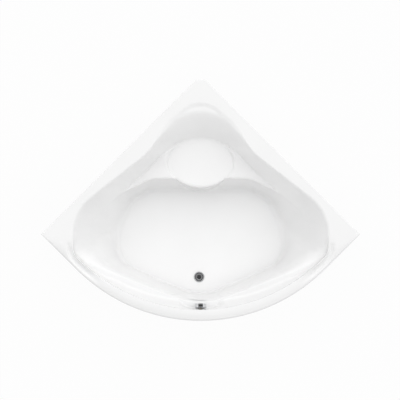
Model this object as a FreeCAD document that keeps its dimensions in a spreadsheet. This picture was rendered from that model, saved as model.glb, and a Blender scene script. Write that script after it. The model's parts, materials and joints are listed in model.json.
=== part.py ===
"""Corner bath in moulded acrylic: shell, cradle with adjustable feet, front panel, pop-up waste.

Millimetres, +Z up. The origin lies on the floor, under the middle of the plan's bounding box.
+Y points at the room corner, -Y at the curved front, +X to the bather's left.
The sheet "sizes" holds every driving dimension; places worked out from them are formulas below.
"""
import FreeCAD, Part
import math
import os
import re
import Sketcher

Vector = FreeCAD.Vector
UP = Vector(0, 0, 1)
NO_TURN = FreeCAD.Rotation()

doc = FreeCAD.newDocument("corner_bath")
sheet = doc.addObject("Spreadsheet::Sheet", "sizes")
aliases = []
formulas = {}
nodes = []


def size(alias, value, note):
    """One driving dimension: a row of the sheet with its alias."""
    row = len(aliases) + 1
    sheet.set("A%d" % row, note)
    sheet.set("B%d" % row, value)
    sheet.setAlias("B%d" % row, alias)
    aliases.append(alias)


def spelled(text):
    """The formula with each alias and each derived name written out for the sheet."""
    def swap(match):
        word = match.group()
        if word in formulas:
            return formulas[word]
        return "sizes." + word if word in aliases else word
    return re.sub(r"[A-Za-z_]\w*", swap, str(text))


def derive(name, text):
    """A place or size that follows from the driving dimensions."""
    formulas[name] = "(" + spelled(text) + ")"


def val(text):
    """The formula's present value."""
    return float(sheet.evalExpression(spelled(text)))


# ---------------------------------------------------------------- plan and rim
size("wall_side", "1500", "length of each wall side, from the room corner to the tip")
size("corner_cut", "30", "distance from the room corner to the small flat that blunts it")
size("front_radius", "1170", "radius of the curved front")
size("rim_level", "600", "height of the rim above the floor")
size("lip_depth", "38", "height of the turned-down lip round the rim")
size("acrylic", "5", "wall of the moulded shell")
size("edge_round", "9", "rounding of the rim's outer top edge")
size("roll", "12", "rounding of the rim's edge into the bowl")

# ---------------------------------------------------------------- bowl, at its three levels
size("tub_depth", "435", "rim to floor")
size("seat_depth", "200", "rim to seat")
size("arm_depth", "165", "rim to armrests")
size("ledge_depth", "110", "rim to the front ledge at its lowest")
size("back_rim", "226", "room corner to the bowl's back edge")
size("side_rim", "206.5", "tip to the bowl's side edge")
size("front_rim", "65.5", "width of the front rim")
size("mouth_radius", "1149", "radius of the bowl's front edge")
size("mouth_corner", "110", "radius between the front edge and the side edge")
size("back_round", "275", "radius of the bowl's back edge")
size("back_reach", "146", "half width of the back edge's tangent")
size("waist_x", "350", "place across of the narrow waist")
size("waist_drop", "291.5", "back edge to the waist")
size("waist_round", "400", "radius of the waist, curved the other way")
size("shoulder", "149", "tip to the side shoulder, along Y")
size("shoulder_round", "310", "radius of the side shoulder")
size("hip", "145", "tip to the front corner of the bowl, along -Y")
size("nose_rise", "86", "front edge to the point where the front walls meet")
size("nose_round", "350", "radius of that meeting")
size("arm_run", "119", "run of the side wall from the rim to armrest level")
size("side_run", "298", "run of the side wall from the rim to the floor")
size("back_run", "195.5", "run of the back wall from the rim to the seat")
size("arm_back_reach", "147", "half width of the back wall's foot")
size("arm_back_round", "338", "radius of the back wall's foot")
size("arm_waist_x", "370", "place across of the waist at armrest level")
size("arm_waist_drop", "229", "back wall's foot to that waist")
size("arm_shoulder", "101", "tip to the side shoulder at armrest level")
size("arm_shoulder_round", "290", "its radius")
size("arm_hip", "151", "tip to the front corner at armrest level")
size("arm_nose_rise", "116", "front edge to the meeting of the front walls at armrest level")
size("arm_front", "258", "back wall's foot to the armrests' front edge")
size("arm_front_reach", "330", "half width of that edge's straight middle")
size("arm_front_round", "200", "radius at its end")
size("arm_tip_x", "515", "place across of the armrests' tips")
size("arm_tip_round", "150", "radius at the tips")
size("floor_back", "535.5", "bowl's back edge to the floor's back edge")
size("floor_heel_x", "455", "place across of the floor's back corner")
size("floor_heel_drop", "64", "floor's back edge to that corner")
size("floor_heel_round", "120", "its radius")
size("floor_shoulder", "37", "tip to the floor's side shoulder")
size("floor_shoulder_round", "180", "its radius")
size("floor_hip", "158", "tip to the floor's front corner")
size("floor_hip_round", "90", "its radius")
size("floor_nose_rise", "158", "front edge to the meeting of the floor's front edges")
size("floor_round", "48", "rounding between walls and floor")
size("seat_half_width", "216", "half width of the seat")
size("seat_half_length", "161", "half length of the seat")
size("seat_flare", "24", "how far the seat's sides lean out up to the armrests")
size("seat_back_flare", "2", "how far its back leans out")
size("seat_strip", "3", "level strip between the seat and the foot of the back wall")
size("seat_round", "14", "rounding of the seat's front edge")
size("seat_lean", "1", "how far its front leans out down to the foot of that edge")
size("seat_toe", "22", "how far the front under the seat leans out down to the floor")
size("ledge_span", "870", "half width over which the ledge rises to the rim")
size("ledge_draft", "7", "lean of the wall above the ledge")
size("scoop_width", "47.5", "bowl's back edge to the top of the headrest scoop")
size("scoop_radius", "190", "radius of the headrest scoop")
size("scoop_depth", "14", "depth of the headrest scoop's cone")
size("scoop_run", "60", "run of the headrest scoop's slope")

# ---------------------------------------------------------------- boards and cradle
size("board_thick", "18", "base board")
size("board_inset", "62", "floor edge to base board edge")
size("board_from_waste", "60", "waste axis to the base board's front edge")
size("seat_board_thick", "12", "board under the seat")
size("seat_board_inset", "40", "seat edge to the edge of that board")
size("batten_thick", "18", "rim batten, height")
size("batten_width", "30", "rim batten, width")
size("batten_inset", "12", "rim edge to batten")
size("batten_end", "190", "end of a wall side to the end of its batten")
size("front_batten_width", "20", "front batten")
size("front_batten_inset", "28", "front edge of the rim to the front batten")
size("front_batten_angle", "30", "half the angle that the front batten spans")
size("rail_size", "25", "square steel tube of the cradle")
size("rail_wall", "2", "its wall")
size("front_rail_back", "103", "tip line to the front rail, along -Y")
size("rear_rail_ahead", "167", "tip line to the rear rail, along +Y")
size("rail_inset", "96", "side of the floor to the end of a rail")
size("cap_thick", "3", "plug in the end of a rail")
size("foot_inset", "60", "end of a rail to its foot")
size("centre_rail_length", "375", "rail that runs back under the seat")
size("back_foot_inset", "30", "end of the centre rail to the back foot")
size("prop_inset", "85", "end of the centre rail to the seat prop")
size("prop_size", "25", "square tube of the seat prop")
size("plate_size", "100", "plates at the top and foot of the prop")
size("plate_thick", "3", "their thickness")
size("stud_diameter", "12", "threaded stud of a foot")
size("nut_height", "10", "weld nut and jam nut")
size("nut_flats", "19", "across the flats")
size("pad_diameter", "50", "foot pad")
size("pad_height", "14", "foot pad")
size("pad_socket", "8", "depth of the stud in its pad")
size("running_gap", "0.05", "radial clearance of a running fit")
size("hole_gap", "0.3", "radial clearance of a screw in its hole")
size("screw_diameter", "5", "wood screws")
size("screw_head", "9.5", "head diameter of the wood screws")
size("screw_head_height", "3", "head of the wood screws")
size("screw_bite", "14", "length of a wood screw in the board or batten")
size("screw_inner", "160", "middle to the inner board screws")
size("screw_outer", "310", "middle to the outer board screws")

# ---------------------------------------------------------------- wall hangers
size("hanger_width", "40", "wall hanger")
size("hanger_thick", "2.5", "its steel")
size("hanger_drop", "60", "its leg on the wall")
size("hanger_lip", "16", "its leg behind the rim's lip")
size("hanger_gap", "1.5", "rim's lip to that leg")
size("wall_hole", "7", "diameter of its wall screw hole")
size("hanger_spread", "420", "half the distance between two hangers of a side")

# ---------------------------------------------------------------- front panel
size("panel_gap", "3", "rim lip to panel")
size("panel_thick", "4", "panel wall")
size("panel_foot", "12", "floor to the panel's lower edge")
size("plinth_height", "72", "height of the recessed plinth")
size("plinth_depth", "18", "how far the plinth is set back")
size("plinth_slope", "12", "height over which it steps back")
size("flange_width", "16", "panel's inward flanges")
size("wall_gap", "6", "panel end to the wall")
size("panel_arm_angle", "32", "angle of the panel arms off the middle")
size("arm_bar_width", "30", "panel arm")
size("arm_bar_thick", "4", "panel arm")
size("arm_tab_margin", "8", "panel screw to the lower edge of the panel arm's tab")
size("clip_angle", "12", "middle to the inner panel clips")
size("clip_outer_angle", "26", "middle to the outer panel clips")
size("clip_width", "30", "panel clip")
size("clip_thick", "3", "panel clip")
size("clip_length", "38", "panel clip, from panel towards the bowl")

# ---------------------------------------------------------------- waste, plug, overflow and trap
size("waste_x", "-10", "waste off the middle line")
size("waste_from_front", "291.5", "front of the rim to the waste")
size("flange_diameter", "70", "waste flange")
size("flange_thick", "3", "its edge")
size("bore_diameter", "45", "its bore")
size("waste_tube", "50", "outside of its threaded tube")
size("waste_clearance", "1", "radial room round that tube in the shell")
size("waste_tube_drop", "30", "length of that tube below the flange")
size("seal_thick", "2", "seals above and below the shell")
size("plug_diameter", "62", "plug cap")
size("plug_thick", "5", "plug cap at its middle")
size("plug_rest", "1.2", "plug cap above the flange when shut")
size("stem_diameter", "8", "plug stem")
size("hub_diameter", "14", "hub of the strainer cross")
size("spoke_width", "3.5", "spokes of the strainer cross")
size("spoke_height", "5", "spokes of the strainer cross")
size("waste_body_diameter", "58", "cup under the waste")
size("waste_body_collar", "84", "collar of that cup")
size("collar_thick", "6", "thickness of that collar")
size("waste_body_height", "48", "collar to the cup's lower end")
size("cup_wall", "3", "wall of the waste cup and the overflow body")
size("spigot_length", "20", "waste cup's spigot")
size("stub_drop", "38", "floor to the axis of the cup's side inlet")
size("stub_length", "60", "waste axis to the end of that inlet")
size("pipe_diameter", "32", "overflow pipe")
size("pipe_wall", "2.5", "its wall")
size("overflow_spigot", "28", "overflow body's spigot")
size("pipe_overlap", "15", "overflow pipe over each spigot")
size("pipe_bend", "40", "radius of its bend")
size("clamp_width", "8", "clamps at its ends")
size("clamp_inset", "3", "end of the pipe to its clamp")
size("clamp_thick", "1.5", "clamps at its ends")
size("trap_diameter", "44", "trap tube")
size("trap_wall", "2.5", "trap tube wall")
size("trap_bend", "28", "radius of the trap's bends")
size("trap_dip", "30", "waste cup to the start of the trap's bend")
size("trap_rise", "2", "height gained before the outlet bend")
size("union_nut", "58", "trap's union nut")
size("union_height", "20", "its height")
size("outlet_diameter", "40", "outlet pipe")
size("outlet_length", "70", "free end of the outlet pipe")
size("outlet_bead", "2", "stop bead round the outlet pipe, ahead of its nut")
size("outlet_turn", "39", "angle of the trap's outlet off the left-hand side, towards the room corner")
size("knob_diameter", "78", "overflow knob")
size("knob_length", "28", "overflow knob")
size("knob_wall", "4", "overflow knob")
size("knob_from_rim", "55", "rim to the knob's axis")
size("knob_proud", "9", "shell to the knob's back edge")
size("grip_height", "4", "ridge across the knob's face")
size("grip_width", "12", "ridge across the knob's face")
size("face_diameter", "66", "overflow face plate")
size("face_thick", "4", "overflow face plate")
size("pad_boss", "92", "flat moulded round the overflow hole")
size("pad_boss_length", "14", "its length through the wall")
size("overflow_hole", "52", "hole in the shell for the overflow")
size("overflow_cup", "60", "overflow body behind the wall")
size("overflow_cup_depth", "26", "overflow body behind the wall")
size("overflow_neck", "50", "its threaded neck through the shell")
size("overflow_collar", "76", "its collar behind the shell")
size("crank_diameter", "34", "cable crank on the spindle")
size("crank_thick", "6", "cable crank on the spindle")
size("cable_diameter", "6", "sleeve of the control cable")
size("cable_offset", "22", "spindle to the cable beside the crank")
size("cable_side", "85", "waste axis to the cable's run beside it")
size("cable_rise", "12", "lower end of the cable, turned up under the stem")
size("cable_bend", "40", "radius of its wide bends")
size("cable_swing", "127.5", "how far ahead of the waste the cable turns to the front")
size("cable_hook", "9", "radius of its last bend, up to the stem")
size("hub_reach", "8", "radius of the knob's hub")
size("spindle_diameter", "8", "knob spindle")
doc.recompute()

# ---------------------------------------------------------------- places that follow
derive("tip_x", "wall_side / sqrt(2)")
derive("half_length", "(sqrt(2) * (wall_side - front_radius) + front_radius - corner_cut) / 2")
derive("corner_y", "half_length + corner_cut")
derive("tip_y", "corner_y - tip_x")
derive("front_centre_y", "front_radius - half_length")
derive("front_y", "0 - half_length")
derive("floor_level", "rim_level - tub_depth")
derive("seat_level", "rim_level - seat_depth")
derive("arm_level", "rim_level - arm_depth")
derive("ledge_level", "rim_level - ledge_depth")
derive("side_x", "tip_x - side_rim")
derive("back_y", "corner_y - back_rim")
derive("board_top", "floor_level - acrylic")
derive("rail_top", "board_top - board_thick")
derive("rail_bottom", "rail_top - rail_size")
derive("front_rail_y", "tip_y - front_rail_back")
derive("rear_rail_y", "tip_y + rear_rail_ahead")
derive("rail_half", "side_x - side_run - rail_inset")
derive("foot_x", "rail_half - foot_inset")
derive("centre_rail_start", "rear_rail_y + rail_size / 2")
derive("back_foot_y", "centre_rail_start + centre_rail_length - back_foot_inset")
derive("prop_y", "centre_rail_start + centre_rail_length - prop_inset")
derive("seat_y", "back_y - back_run - seat_strip - seat_back_flare - seat_half_length")
derive("waste_y", "front_y + waste_from_front")
derive("batten_level", "rim_level - acrylic - batten_thick")
derive("knob_level", "rim_level - knob_from_rim")
derive("mouth_y", "front_y + front_rim")


# ---------------------------------------------------------------- outlines with rounded corners
def rounded(corners, grow=0.0):
    """Arcs of a closed outline: corners are (x, y, radius), clockwise; grow moves it outwards."""
    arcs = []
    count = len(corners)
    for index, (x, y, radius) in enumerate(corners):
        corner = Vector(x, y, 0)
        before = Vector(*corners[index - 1][:2], 0)
        after = Vector(*corners[(index + 1) % count][:2], 0)
        arrive = (corner - before).normalize()
        leave = (after - corner).normalize()
        bend = math.atan2(arrive.x * leave.y - arrive.y * leave.x, arrive.dot(leave))
        reach = radius * math.tan(abs(bend) / 2)
        side = 1 if bend < 0 else -1
        inward = Vector(arrive.y, -arrive.x, 0) * side
        centre = corner - arrive * reach + inward * radius
        middle = (leave - arrive).normalize() * -1
        new_radius = radius + grow * side
        start = centre - inward * new_radius
        end_in = Vector(leave.y, -leave.x, 0) * side
        end = centre - end_in * new_radius
        arcs.append((start, centre + middle * new_radius, end))
    return arcs


def outline(arcs, level):
    """Closed wire through the arcs, with straight runs between them, at one level."""
    lift = UP * level
    edges = []
    for index, (start, middle, end) in enumerate(arcs):
        edges.append(Part.Arc(start + lift, middle + lift, end + lift).toShape())
        follow = arcs[(index + 1) % len(arcs)][0]
        if (follow - end).Length > 1e-6:
            edges.append(Part.LineSegment(end + lift, follow + lift).toShape())
    return Part.Wire(edges)


def mirrored(right, middle):
    """The right-hand corners, the one on the middle line, then the left-hand ones."""
    left = [(-x, y, radius) for x, y, radius in reversed(right)]
    return right + middle + left


def between(first, second, share):
    """Corners part of the way from one outline to another."""
    return [tuple(a + (b - a) * share for a, b in zip(p, q)) for p, q in zip(first, second)]


def bowl(steps):
    """Solid through outlines, one for each (corners, grow, level), ruled from each to the next."""
    wires = [outline(rounded(corners, grow), level) for corners, grow, level in steps]
    return Part.makeLoft(wires, True, True)


def rim_outline():
    """Plan of the rim: two wall sides, blunted corner, tips and rounded front."""
    tip_x = val("tip_x")
    tip_y = val("tip_y")
    cut = val("corner_cut")
    corner_y = val("corner_y")
    turn = val("(wall_side - front_radius) / sqrt(2)")
    spots = [Vector(cut, corner_y - cut, 0), Vector(tip_x, tip_y, 0), Vector(tip_x - turn, tip_y - turn, 0)]
    middle = Vector(0, val("front_y"), 0)
    return spots, middle


def rim_wire(level, inset):
    """The rim's outline at one level, moved in by an inset."""
    spots, middle = rim_outline()
    lift = UP * level
    right = [spot + lift for spot in spots]
    left = [Vector(-spot.x, spot.y, 0) + lift for spot in spots]
    front = Part.Arc(right[2], middle + lift, left[2]).toShape()
    runs = [(right[0], right[1]), (right[1], right[2]), (left[2], left[1]), (left[1], left[0])]
    edges = [Part.LineSegment(a, b).toShape() for a, b in runs[:2]] + [front]
    edges += [Part.LineSegment(a, b).toShape() for a, b in runs[2:]]
    edges.append(Part.LineSegment(left[0], right[0]).toShape())
    wire = Part.Wire(edges)
    return wire.makeOffset2D(-inset, 2) if inset else wire


def prism(wire, height):
    return Part.Face(wire).extrude(UP * height)


# ---------------------------------------------------------------- the bowl's outlines
ROUND_STEPS = 3
LEDGE_SPOTS = 6
LEDGE_MARGIN = 5.0
side_x = val("side_x")
back_y = val("back_y")
tip_y = val("tip_y")
front_y = val("front_y")
rim_level = val("rim_level")
arm_level = val("arm_level")
seat_level = val("seat_level")
floor_level = val("floor_level")
nose_round = val("nose_round")

top_corners = mirrored(
    [
        (val("back_reach"), back_y, val("back_round")),
        (val("waist_x"), back_y - val("waist_drop"), val("waist_round")),
        (side_x, tip_y + val("shoulder"), val("shoulder_round")),
        (side_x, tip_y - val("hip"), val("mouth_corner")),
    ],
    [(0.0, front_y + val("nose_rise"), nose_round)],
)

arm_x = side_x - val("arm_run")
arm_back_y = back_y - val("back_run")
arm_waist = (val("arm_waist_x"), arm_back_y - val("arm_waist_drop"), val("waist_round"))
arm_shoulder = (arm_x, tip_y + val("arm_shoulder"), val("arm_shoulder_round"))
arm_hip = (arm_x, tip_y - val("arm_hip"), val("mouth_corner"))
arm_nose = (0.0, front_y + val("arm_nose_rise"), nose_round)
arm_corners = mirrored(
    [(val("arm_back_reach"), arm_back_y, val("arm_back_round")), arm_waist, arm_shoulder, arm_hip],
    [arm_nose],
)

# the armrests' tips lie on the foot of the wall between waist and shoulder
tip_share = (val("arm_tip_x") - arm_waist[0]) / (arm_x - arm_waist[0])
arm_tip_y = arm_waist[1] + (arm_shoulder[1] - arm_waist[1]) * tip_share
basin_corners = mirrored(
    [
        (val("arm_front_reach"), arm_back_y - val("arm_front"), val("arm_front_round")),
        (val("arm_tip_x"), arm_tip_y, val("arm_tip_round")),
        arm_shoulder,
        arm_hip,
    ],
    [arm_nose],
)

floor_x = side_x - val("side_run")
floor_back_y = back_y - val("floor_back")
floor_corners = mirrored(
    [
        (val("arm_front_reach"), floor_back_y, val("arm_tip_round")),
        (val("floor_heel_x"), floor_back_y - val("floor_heel_drop"), val("floor_heel_round")),
        (floor_x, tip_y + val("floor_shoulder"), val("floor_shoulder_round")),
        (floor_x, tip_y - val("floor_hip"), val("floor_hip_round")),
    ],
    [(0.0, front_y + val("floor_nose_rise"), nose_round)],
)


def mouth(grow):
    """Arcs of the bowl's edge at the rim: as the top corners, with one wide arc in front."""
    arcs = rounded(top_corners, grow)
    radius = val("mouth_radius")
    corner = val("mouth_corner")
    centre = Vector(0, val("mouth_y") + radius, 0)
    across = side_x - corner
    drop = math.sqrt((radius - corner) ** 2 - across ** 2)
    hub = Vector(across, centre.y - drop, 0)
    aim = (hub - centre).normalize()
    start = hub + Vector(1, 0, 0) * (corner + grow)
    middle = hub + (aim + Vector(1, 0, 0)).normalize() * (corner + grow)
    end = hub + aim * (corner + grow)
    flip = [Vector(-spot.x, spot.y, 0) for spot in (end, middle, start)]
    front = (end, centre - Vector(0, radius + grow, 0), flip[0])
    return arcs[:3] + [(start, middle, end), front, tuple(flip)] + arcs[-3:]


def oval(half_width, half_length, level):
    """Ellipse of the seat at one level."""
    centre = Vector(0, val("seat_y"), level)
    if half_width > half_length:
        curve = Part.Ellipse(centre, half_width, half_length)
    else:
        curve = Part.Ellipse(centre, half_length, half_width)
    return Part.Wire([curve.toShape()])


def floor_steps(first, second, top, bottom, radius, grow, sink):
    """Sections of a wall that ends in a rounding: straight down, then in along a curve."""
    share = radius / (top - bottom)
    steps = [(first, grow, top)]
    for index in range(ROUND_STEPS + 1):
        part = index / ROUND_STEPS
        left = share * (1 - part) ** 2
        level = bottom + (top - bottom) * left - sink * part
        steps.append((between(first, second, 1 - left), grow - radius * part ** 2, level))
    return steps


def upper_bowl(grow, sink):
    """From the rolled edge at the rim down to the armrests."""
    roll = val("roll")
    share = roll / (rim_level - arm_level)
    steps = []
    for index in range(ROUND_STEPS):
        part = index / (ROUND_STEPS - 1)
        corners = between(top_corners, arm_corners, share * part ** 2)
        steps.append((corners, grow + roll * (1 - part) ** 2, rim_level - roll * part ** 2))
    steps.append((arm_corners, grow, arm_level - sink))
    return bowl(steps)


def lower_bowl(grow, sink):
    """From the armrests down to the floor, round the bulge that carries the seat."""
    steps = floor_steps(
        basin_corners, floor_corners, arm_level - sink, floor_level, val("floor_round"), grow, sink)
    solid = bowl(steps)
    half_width = val("seat_half_width") - grow
    half_length = val("seat_half_length") - grow
    edge = val("seat_round")
    toe = val("seat_toe")
    lean = val("seat_lean")
    top = seat_level - sink
    rings = [
        oval(half_width + toe, half_length + toe, floor_level - sink - val("acrylic")),
        oval(half_width + lean, half_length + lean, top - edge),
        oval(half_width - edge * 0.25, half_length - edge * 0.25, top - edge * 0.25),
        oval(half_width - edge, half_length - edge, top),
    ]
    return solid.cut(Part.makeLoft(rings, True, True))


def seat_dish(grow, sink):
    half_width = val("seat_half_width") + grow
    half_length = val("seat_half_length") + grow
    rings = [
        oval(half_width, half_length, seat_level - sink),
        oval(half_width + val("seat_flare"), half_length + val("seat_back_flare"), arm_level + 1 - sink),
    ]
    return Part.makeLoft(rings, True, True)


def front_ledge(grow, sink):
    """The space over the ledge: inside the mouth, above a surface that rises to both sides."""
    roll = val("roll")
    wires = []
    for index in range(ROUND_STEPS):
        part = index / (ROUND_STEPS - 1)
        wires.append(outline(mouth(grow + roll * (1 - part) ** 2), rim_level - roll * part ** 2))
    low = val("ledge_level") - sink
    wires.append(outline(mouth(grow - val("ledge_draft")), low - 1))
    inside = Part.makeLoft(wires, True, True)
    span = val("ledge_span")
    start_y = front_y - LEDGE_MARGIN
    spots = []
    for index in range(-LEDGE_SPOTS, LEDGE_SPOTS + 1):
        share = index / LEDGE_SPOTS
        spots.append(Vector(span * share, start_y, low + (rim_level - sink - low) * share ** 2))
    curve = Part.BSplineCurve()
    curve.interpolate(spots)
    first = spots[0]
    last = spots[-1]
    above = UP * (sink + LEDGE_MARGIN)
    edges = [
        curve.toShape(),
        Part.LineSegment(last, last + above).toShape(),
        Part.LineSegment(last + above, first + above).toShape(),
        Part.LineSegment(first + above, first).toShape(),
    ]
    block = Part.Face(Part.Wire(edges)).extrude(Vector(0, tip_y - start_y, 0))
    return inside.common(block)


def headrest_scoop(grow, sink):
    wide = val("scoop_radius") + grow
    centre = Vector(0, back_y + val("scoop_width") - val("scoop_radius"),
                    rim_level - val("scoop_depth") - sink)
    return Part.makeCone(wide - val("scoop_run"), wide, val("scoop_depth"), centre)


def hollow(grow, sink):
    """The whole bowl as a solid, grown and sunk by the shell's wall for its outside."""
    solid = upper_bowl(grow, sink)
    others = [lower_bowl(grow, sink), seat_dish(grow, sink), front_ledge(grow, sink),
              headrest_scoop(grow, sink)]
    return solid.multiFuse(others)


# ---------------------------------------------------------------- objects of the document
def keep(item, label):
    """Names an object as one of the bath's pieces."""
    item.Label = label
    nodes.append(item)
    return item


def shaped(label, shape):
    """A piece whose shape is worked out here from the sheet's sizes."""
    item = doc.addObject("Part::Feature", label)
    item.Shape = shape
    item.Placement = FreeCAD.Placement()
    return keep(item, label)


def bind(item, **sizes):
    for name, formula in sizes.items():
        item.setExpression(name, spelled(formula))


def put(item, spot, turn=NO_TURN):
    """Places an object at a spot given as three formulas."""
    item.Placement = FreeCAD.Placement(Vector(*[val(part) for part in spot]), turn)
    for axis, part in zip("xyz", spot):
        item.setExpression(".Placement.Base." + axis, spelled(part))
    return item


def new_body(label):
    return doc.addObject("PartDesign::Body", label)


def new_sketch(body, role, lift="0"):
    """Empty sketch on one of the body's own planes, lifted along the plane's normal."""
    sketch = body.newObject("Sketcher::SketchObject", body.Name + "_sketch")
    plane = [part for part in body.Origin.OriginFeatures if part.Role == role][0]
    sketch.AttachmentSupport = [(plane, "")]
    sketch.MapMode = "FlatFace"
    sketch.setExpression(".AttachmentOffset.Base.z", spelled(lift))
    return sketch


def hold(sketch, kind, index, end, formula):
    """Dimension that ties a point of the sketch to a formula."""
    made = Sketcher.Constraint(kind, -1, 1, index, end, val(formula))
    sketch.setExpression("Constraints[%d]" % sketch.addConstraint(made), spelled(formula))


def polygon(sketch, corners):
    spots = [Vector(val(x), val(y), 0) for x, y in corners]
    first = len(sketch.Geometry)
    count = len(spots)
    for index in range(count):
        sketch.addGeometry(Part.LineSegment(spots[index], spots[(index + 1) % count]), False)
    for index in range(count):
        follow = first + (index + 1) % count
        sketch.addConstraint(Sketcher.Constraint("Coincident", first + index, 2, follow, 1))
    for index, (x, y) in enumerate(corners):
        hold(sketch, "DistanceX", first + index, 1, x)
        hold(sketch, "DistanceY", first + index, 1, y)


def rectangle(sketch, left, right, low, high):
    polygon(sketch, [(left, low), (right, low), (right, high), (left, high)])


def circle(sketch, x, y, radius):
    curve = Part.Circle(Vector(val(x), val(y), 0), UP, val(radius))
    index = sketch.addGeometry(curve, False)
    hold(sketch, "DistanceX", index, 3, x)
    hold(sketch, "DistanceY", index, 3, y)
    made = sketch.addConstraint(Sketcher.Constraint("Radius", index, val(radius)))
    sketch.setExpression("Constraints[%d]" % made, spelled(radius))


def pad(body, sketch, length, midplane=False, reverse=False):
    feature = body.newObject("PartDesign::Pad", body.Name + "_pad")
    feature.Profile = sketch
    feature.SideType = "Symmetric" if midplane else "One side"
    feature.Reversed = reverse
    feature.setExpression("Length", spelled(length))
    return feature


def pocket(body, sketch, length, reverse=False):
    feature = body.newObject("PartDesign::Pocket", body.Name + "_pocket")
    feature.Profile = sketch
    feature.Reversed = reverse
    feature.setExpression("Length", spelled(length))
    return feature


def turn(body, corners, angle="360"):
    """Solid turned about the body's Z axis from a profile of (radius, height) formulas."""
    sketch = new_sketch(body, "XZ_Plane")
    polygon(sketch, corners)
    feature = body.newObject("PartDesign::Revolution", body.Name + "_turned")
    feature.Profile = sketch
    feature.ReferenceAxis = (sketch, ["V_Axis"])
    feature.Midplane = True
    feature.setExpression("Angle", spelled(angle))
    return feature


def turned(label, spot, corners, rotation=NO_TURN):
    body = new_body(label)
    turn(body, corners)
    put(body, spot, rotation)
    return keep(body, label)


def ring(label, spot, inner, outer, low, high, rotation=NO_TURN):
    """Plain ring between two radii and two heights."""
    return turned(label, spot, [(inner, low), (outer, low), (outer, high), (inner, high)], rotation)


def rod(name, radius, height, spot, direction=UP):
    item = doc.addObject("Part::Cylinder", name)
    bind(item, Radius=radius, Height=height)
    item.Placement = FreeCAD.Placement(spot, FreeCAD.Rotation(UP, direction))
    return item


def screw(name, spot, direction, shank, length, head, head_height):
    """Shank along the direction from the spot, with its head behind the spot."""
    shaft = rod(name + "_shank", shank, length, spot, direction)
    back = spot - direction * val(head_height)
    top = rod(name + "_head", head, head_height, back, direction)
    both = doc.addObject("Part::Fuse", name)
    both.Base = shaft
    both.Tool = top
    return both


def group(label, members):
    """Identical separate solids that share one piece name."""
    item = doc.addObject("Part::Compound", label)
    item.Links = members
    return keep(item, label)


# ---------------------------------------------------------------- moulded shell
WALL = val("acrylic")
FRONT_CENTRE = Vector(0, val("front_centre_y"), 0)
WASTE = Vector(val("waste_x"), val("waste_y"), 0)
INTO_TUB = FreeCAD.Rotation(Vector(1, 0, 0), -90)
derive("boss_y", "mouth_y + ledge_draft + 2")
KNOB = Vector(0, val("boss_y"), val("knob_level"))
INWARD = Vector(0, 1, 0)


def bath_shell():
    """Rim with its lip, the bowl's wall, the flat for the overflow, and the two holes."""
    lip = val("lip_depth")
    slab = prism(rim_wire(rim_level - lip, 0), lip)
    top_edges = [edge for edge in slab.Edges if edge.BoundBox.ZMin > rim_level - lip / 2]
    slab = slab.makeFillet(val("edge_round"), top_edges)
    rim = slab.cut(prism(rim_wire(rim_level - lip, WALL), lip - WALL))
    boss_back = KNOB - INWARD * val("pad_boss_length")
    boss = Part.makeCylinder(val("pad_boss / 2"), val("pad_boss_length"), boss_back, INWARD)
    solid = rim.fuse(hollow(WALL, WALL)).cut(hollow(0.0, 0.0)).fuse(boss)
    solid = solid.cut(Part.makeCylinder(val("overflow_hole / 2"), 4 * WALL + val("pad_boss_length"),
                                        boss_back - INWARD * 2 * WALL, INWARD))
    waste_hole = val("waste_tube / 2 + waste_clearance")
    solid = solid.cut(Part.makeCylinder(waste_hole, 4 * WALL, WASTE + UP * (floor_level - 2 * WALL)))
    return solid.Solids[0] if len(solid.Solids) == 1 else solid


shaped("bath_shell", bath_shell())

# ---------------------------------------------------------------- boards and rim battens
SCREW_HOLE = val("screw_diameter / 2 + hole_gap")


def base_board():
    """Flat board under the floor, cut short of the waste, with holes for its screws."""
    corners = rounded(floor_corners, -val("board_inset"))
    board = prism(outline(corners, val("rail_top")), val("board_thick"))
    edge_y = WASTE.y + val("board_from_waste")
    wide = 2 * floor_x
    away = Part.makeBox(2 * wide, wide, rim_level, Vector(-wide, edge_y - wide, 0))
    holes = [Part.makeCylinder(SCREW_HOLE, val("screw_bite"), spot + UP * val("rail_top"))
             for spot in board_screw_spots()]
    return board.cut([away] + holes)


def board_screw_spots():
    """Where the rails are screwed to the base board, seen from above."""
    spots = []
    for rail_y in (val("front_rail_y"), val("rear_rail_y")):
        for reach in (val("screw_inner"), val("screw_outer")):
            spots += [Vector(-reach, rail_y, 0), Vector(reach, rail_y, 0)]
    return spots


def seat_board():
    inset = val("seat_board_inset")
    low = seat_level - WALL - val("seat_board_thick")
    return prism(oval(val("seat_half_width") - inset, val("seat_half_length") - inset, low),
                 val("seat_board_thick"))


shaped("base_board", base_board())
shaped("seat_board", seat_board())


def wall_batten(label, side):
    """Straight strip under the rim along one wall side; side is 1 right, -1 left."""
    body = new_body(label)
    sketch = new_sketch(body, "YZ_Plane")
    rectangle(sketch, "0 - batten_inset - batten_width", "0 - batten_inset", "0", "batten_thick")
    pad(body, sketch, "wall_side - 2 * batten_end", midplane=True)
    middle = "tip_x * %g / 2" % side
    put(body, (middle, "(corner_y + tip_y) / 2", "batten_level"), FreeCAD.Rotation(UP, -45 * side))
    return keep(body, label)


wall_batten("right_rim_batten", 1)
wall_batten("left_rim_batten", -1)

front_batten = new_body("front_rim_batten")
batten_profile = new_sketch(front_batten, "YZ_Plane")
rectangle(batten_profile, "0 - front_radius + front_batten_inset",
          "0 - front_radius + front_batten_inset + front_batten_width", "0", "batten_thick")
batten_turn = front_batten.newObject("PartDesign::Revolution", "front_rim_batten_turned")
batten_turn.Profile = batten_profile
batten_turn.ReferenceAxis = (batten_profile, ["V_Axis"])
batten_turn.Midplane = True
bind(batten_turn, Angle="2 * front_batten_angle")
put(front_batten, ("0", "front_centre_y", "batten_level"))
keep(front_batten, "front_rim_batten")


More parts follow.
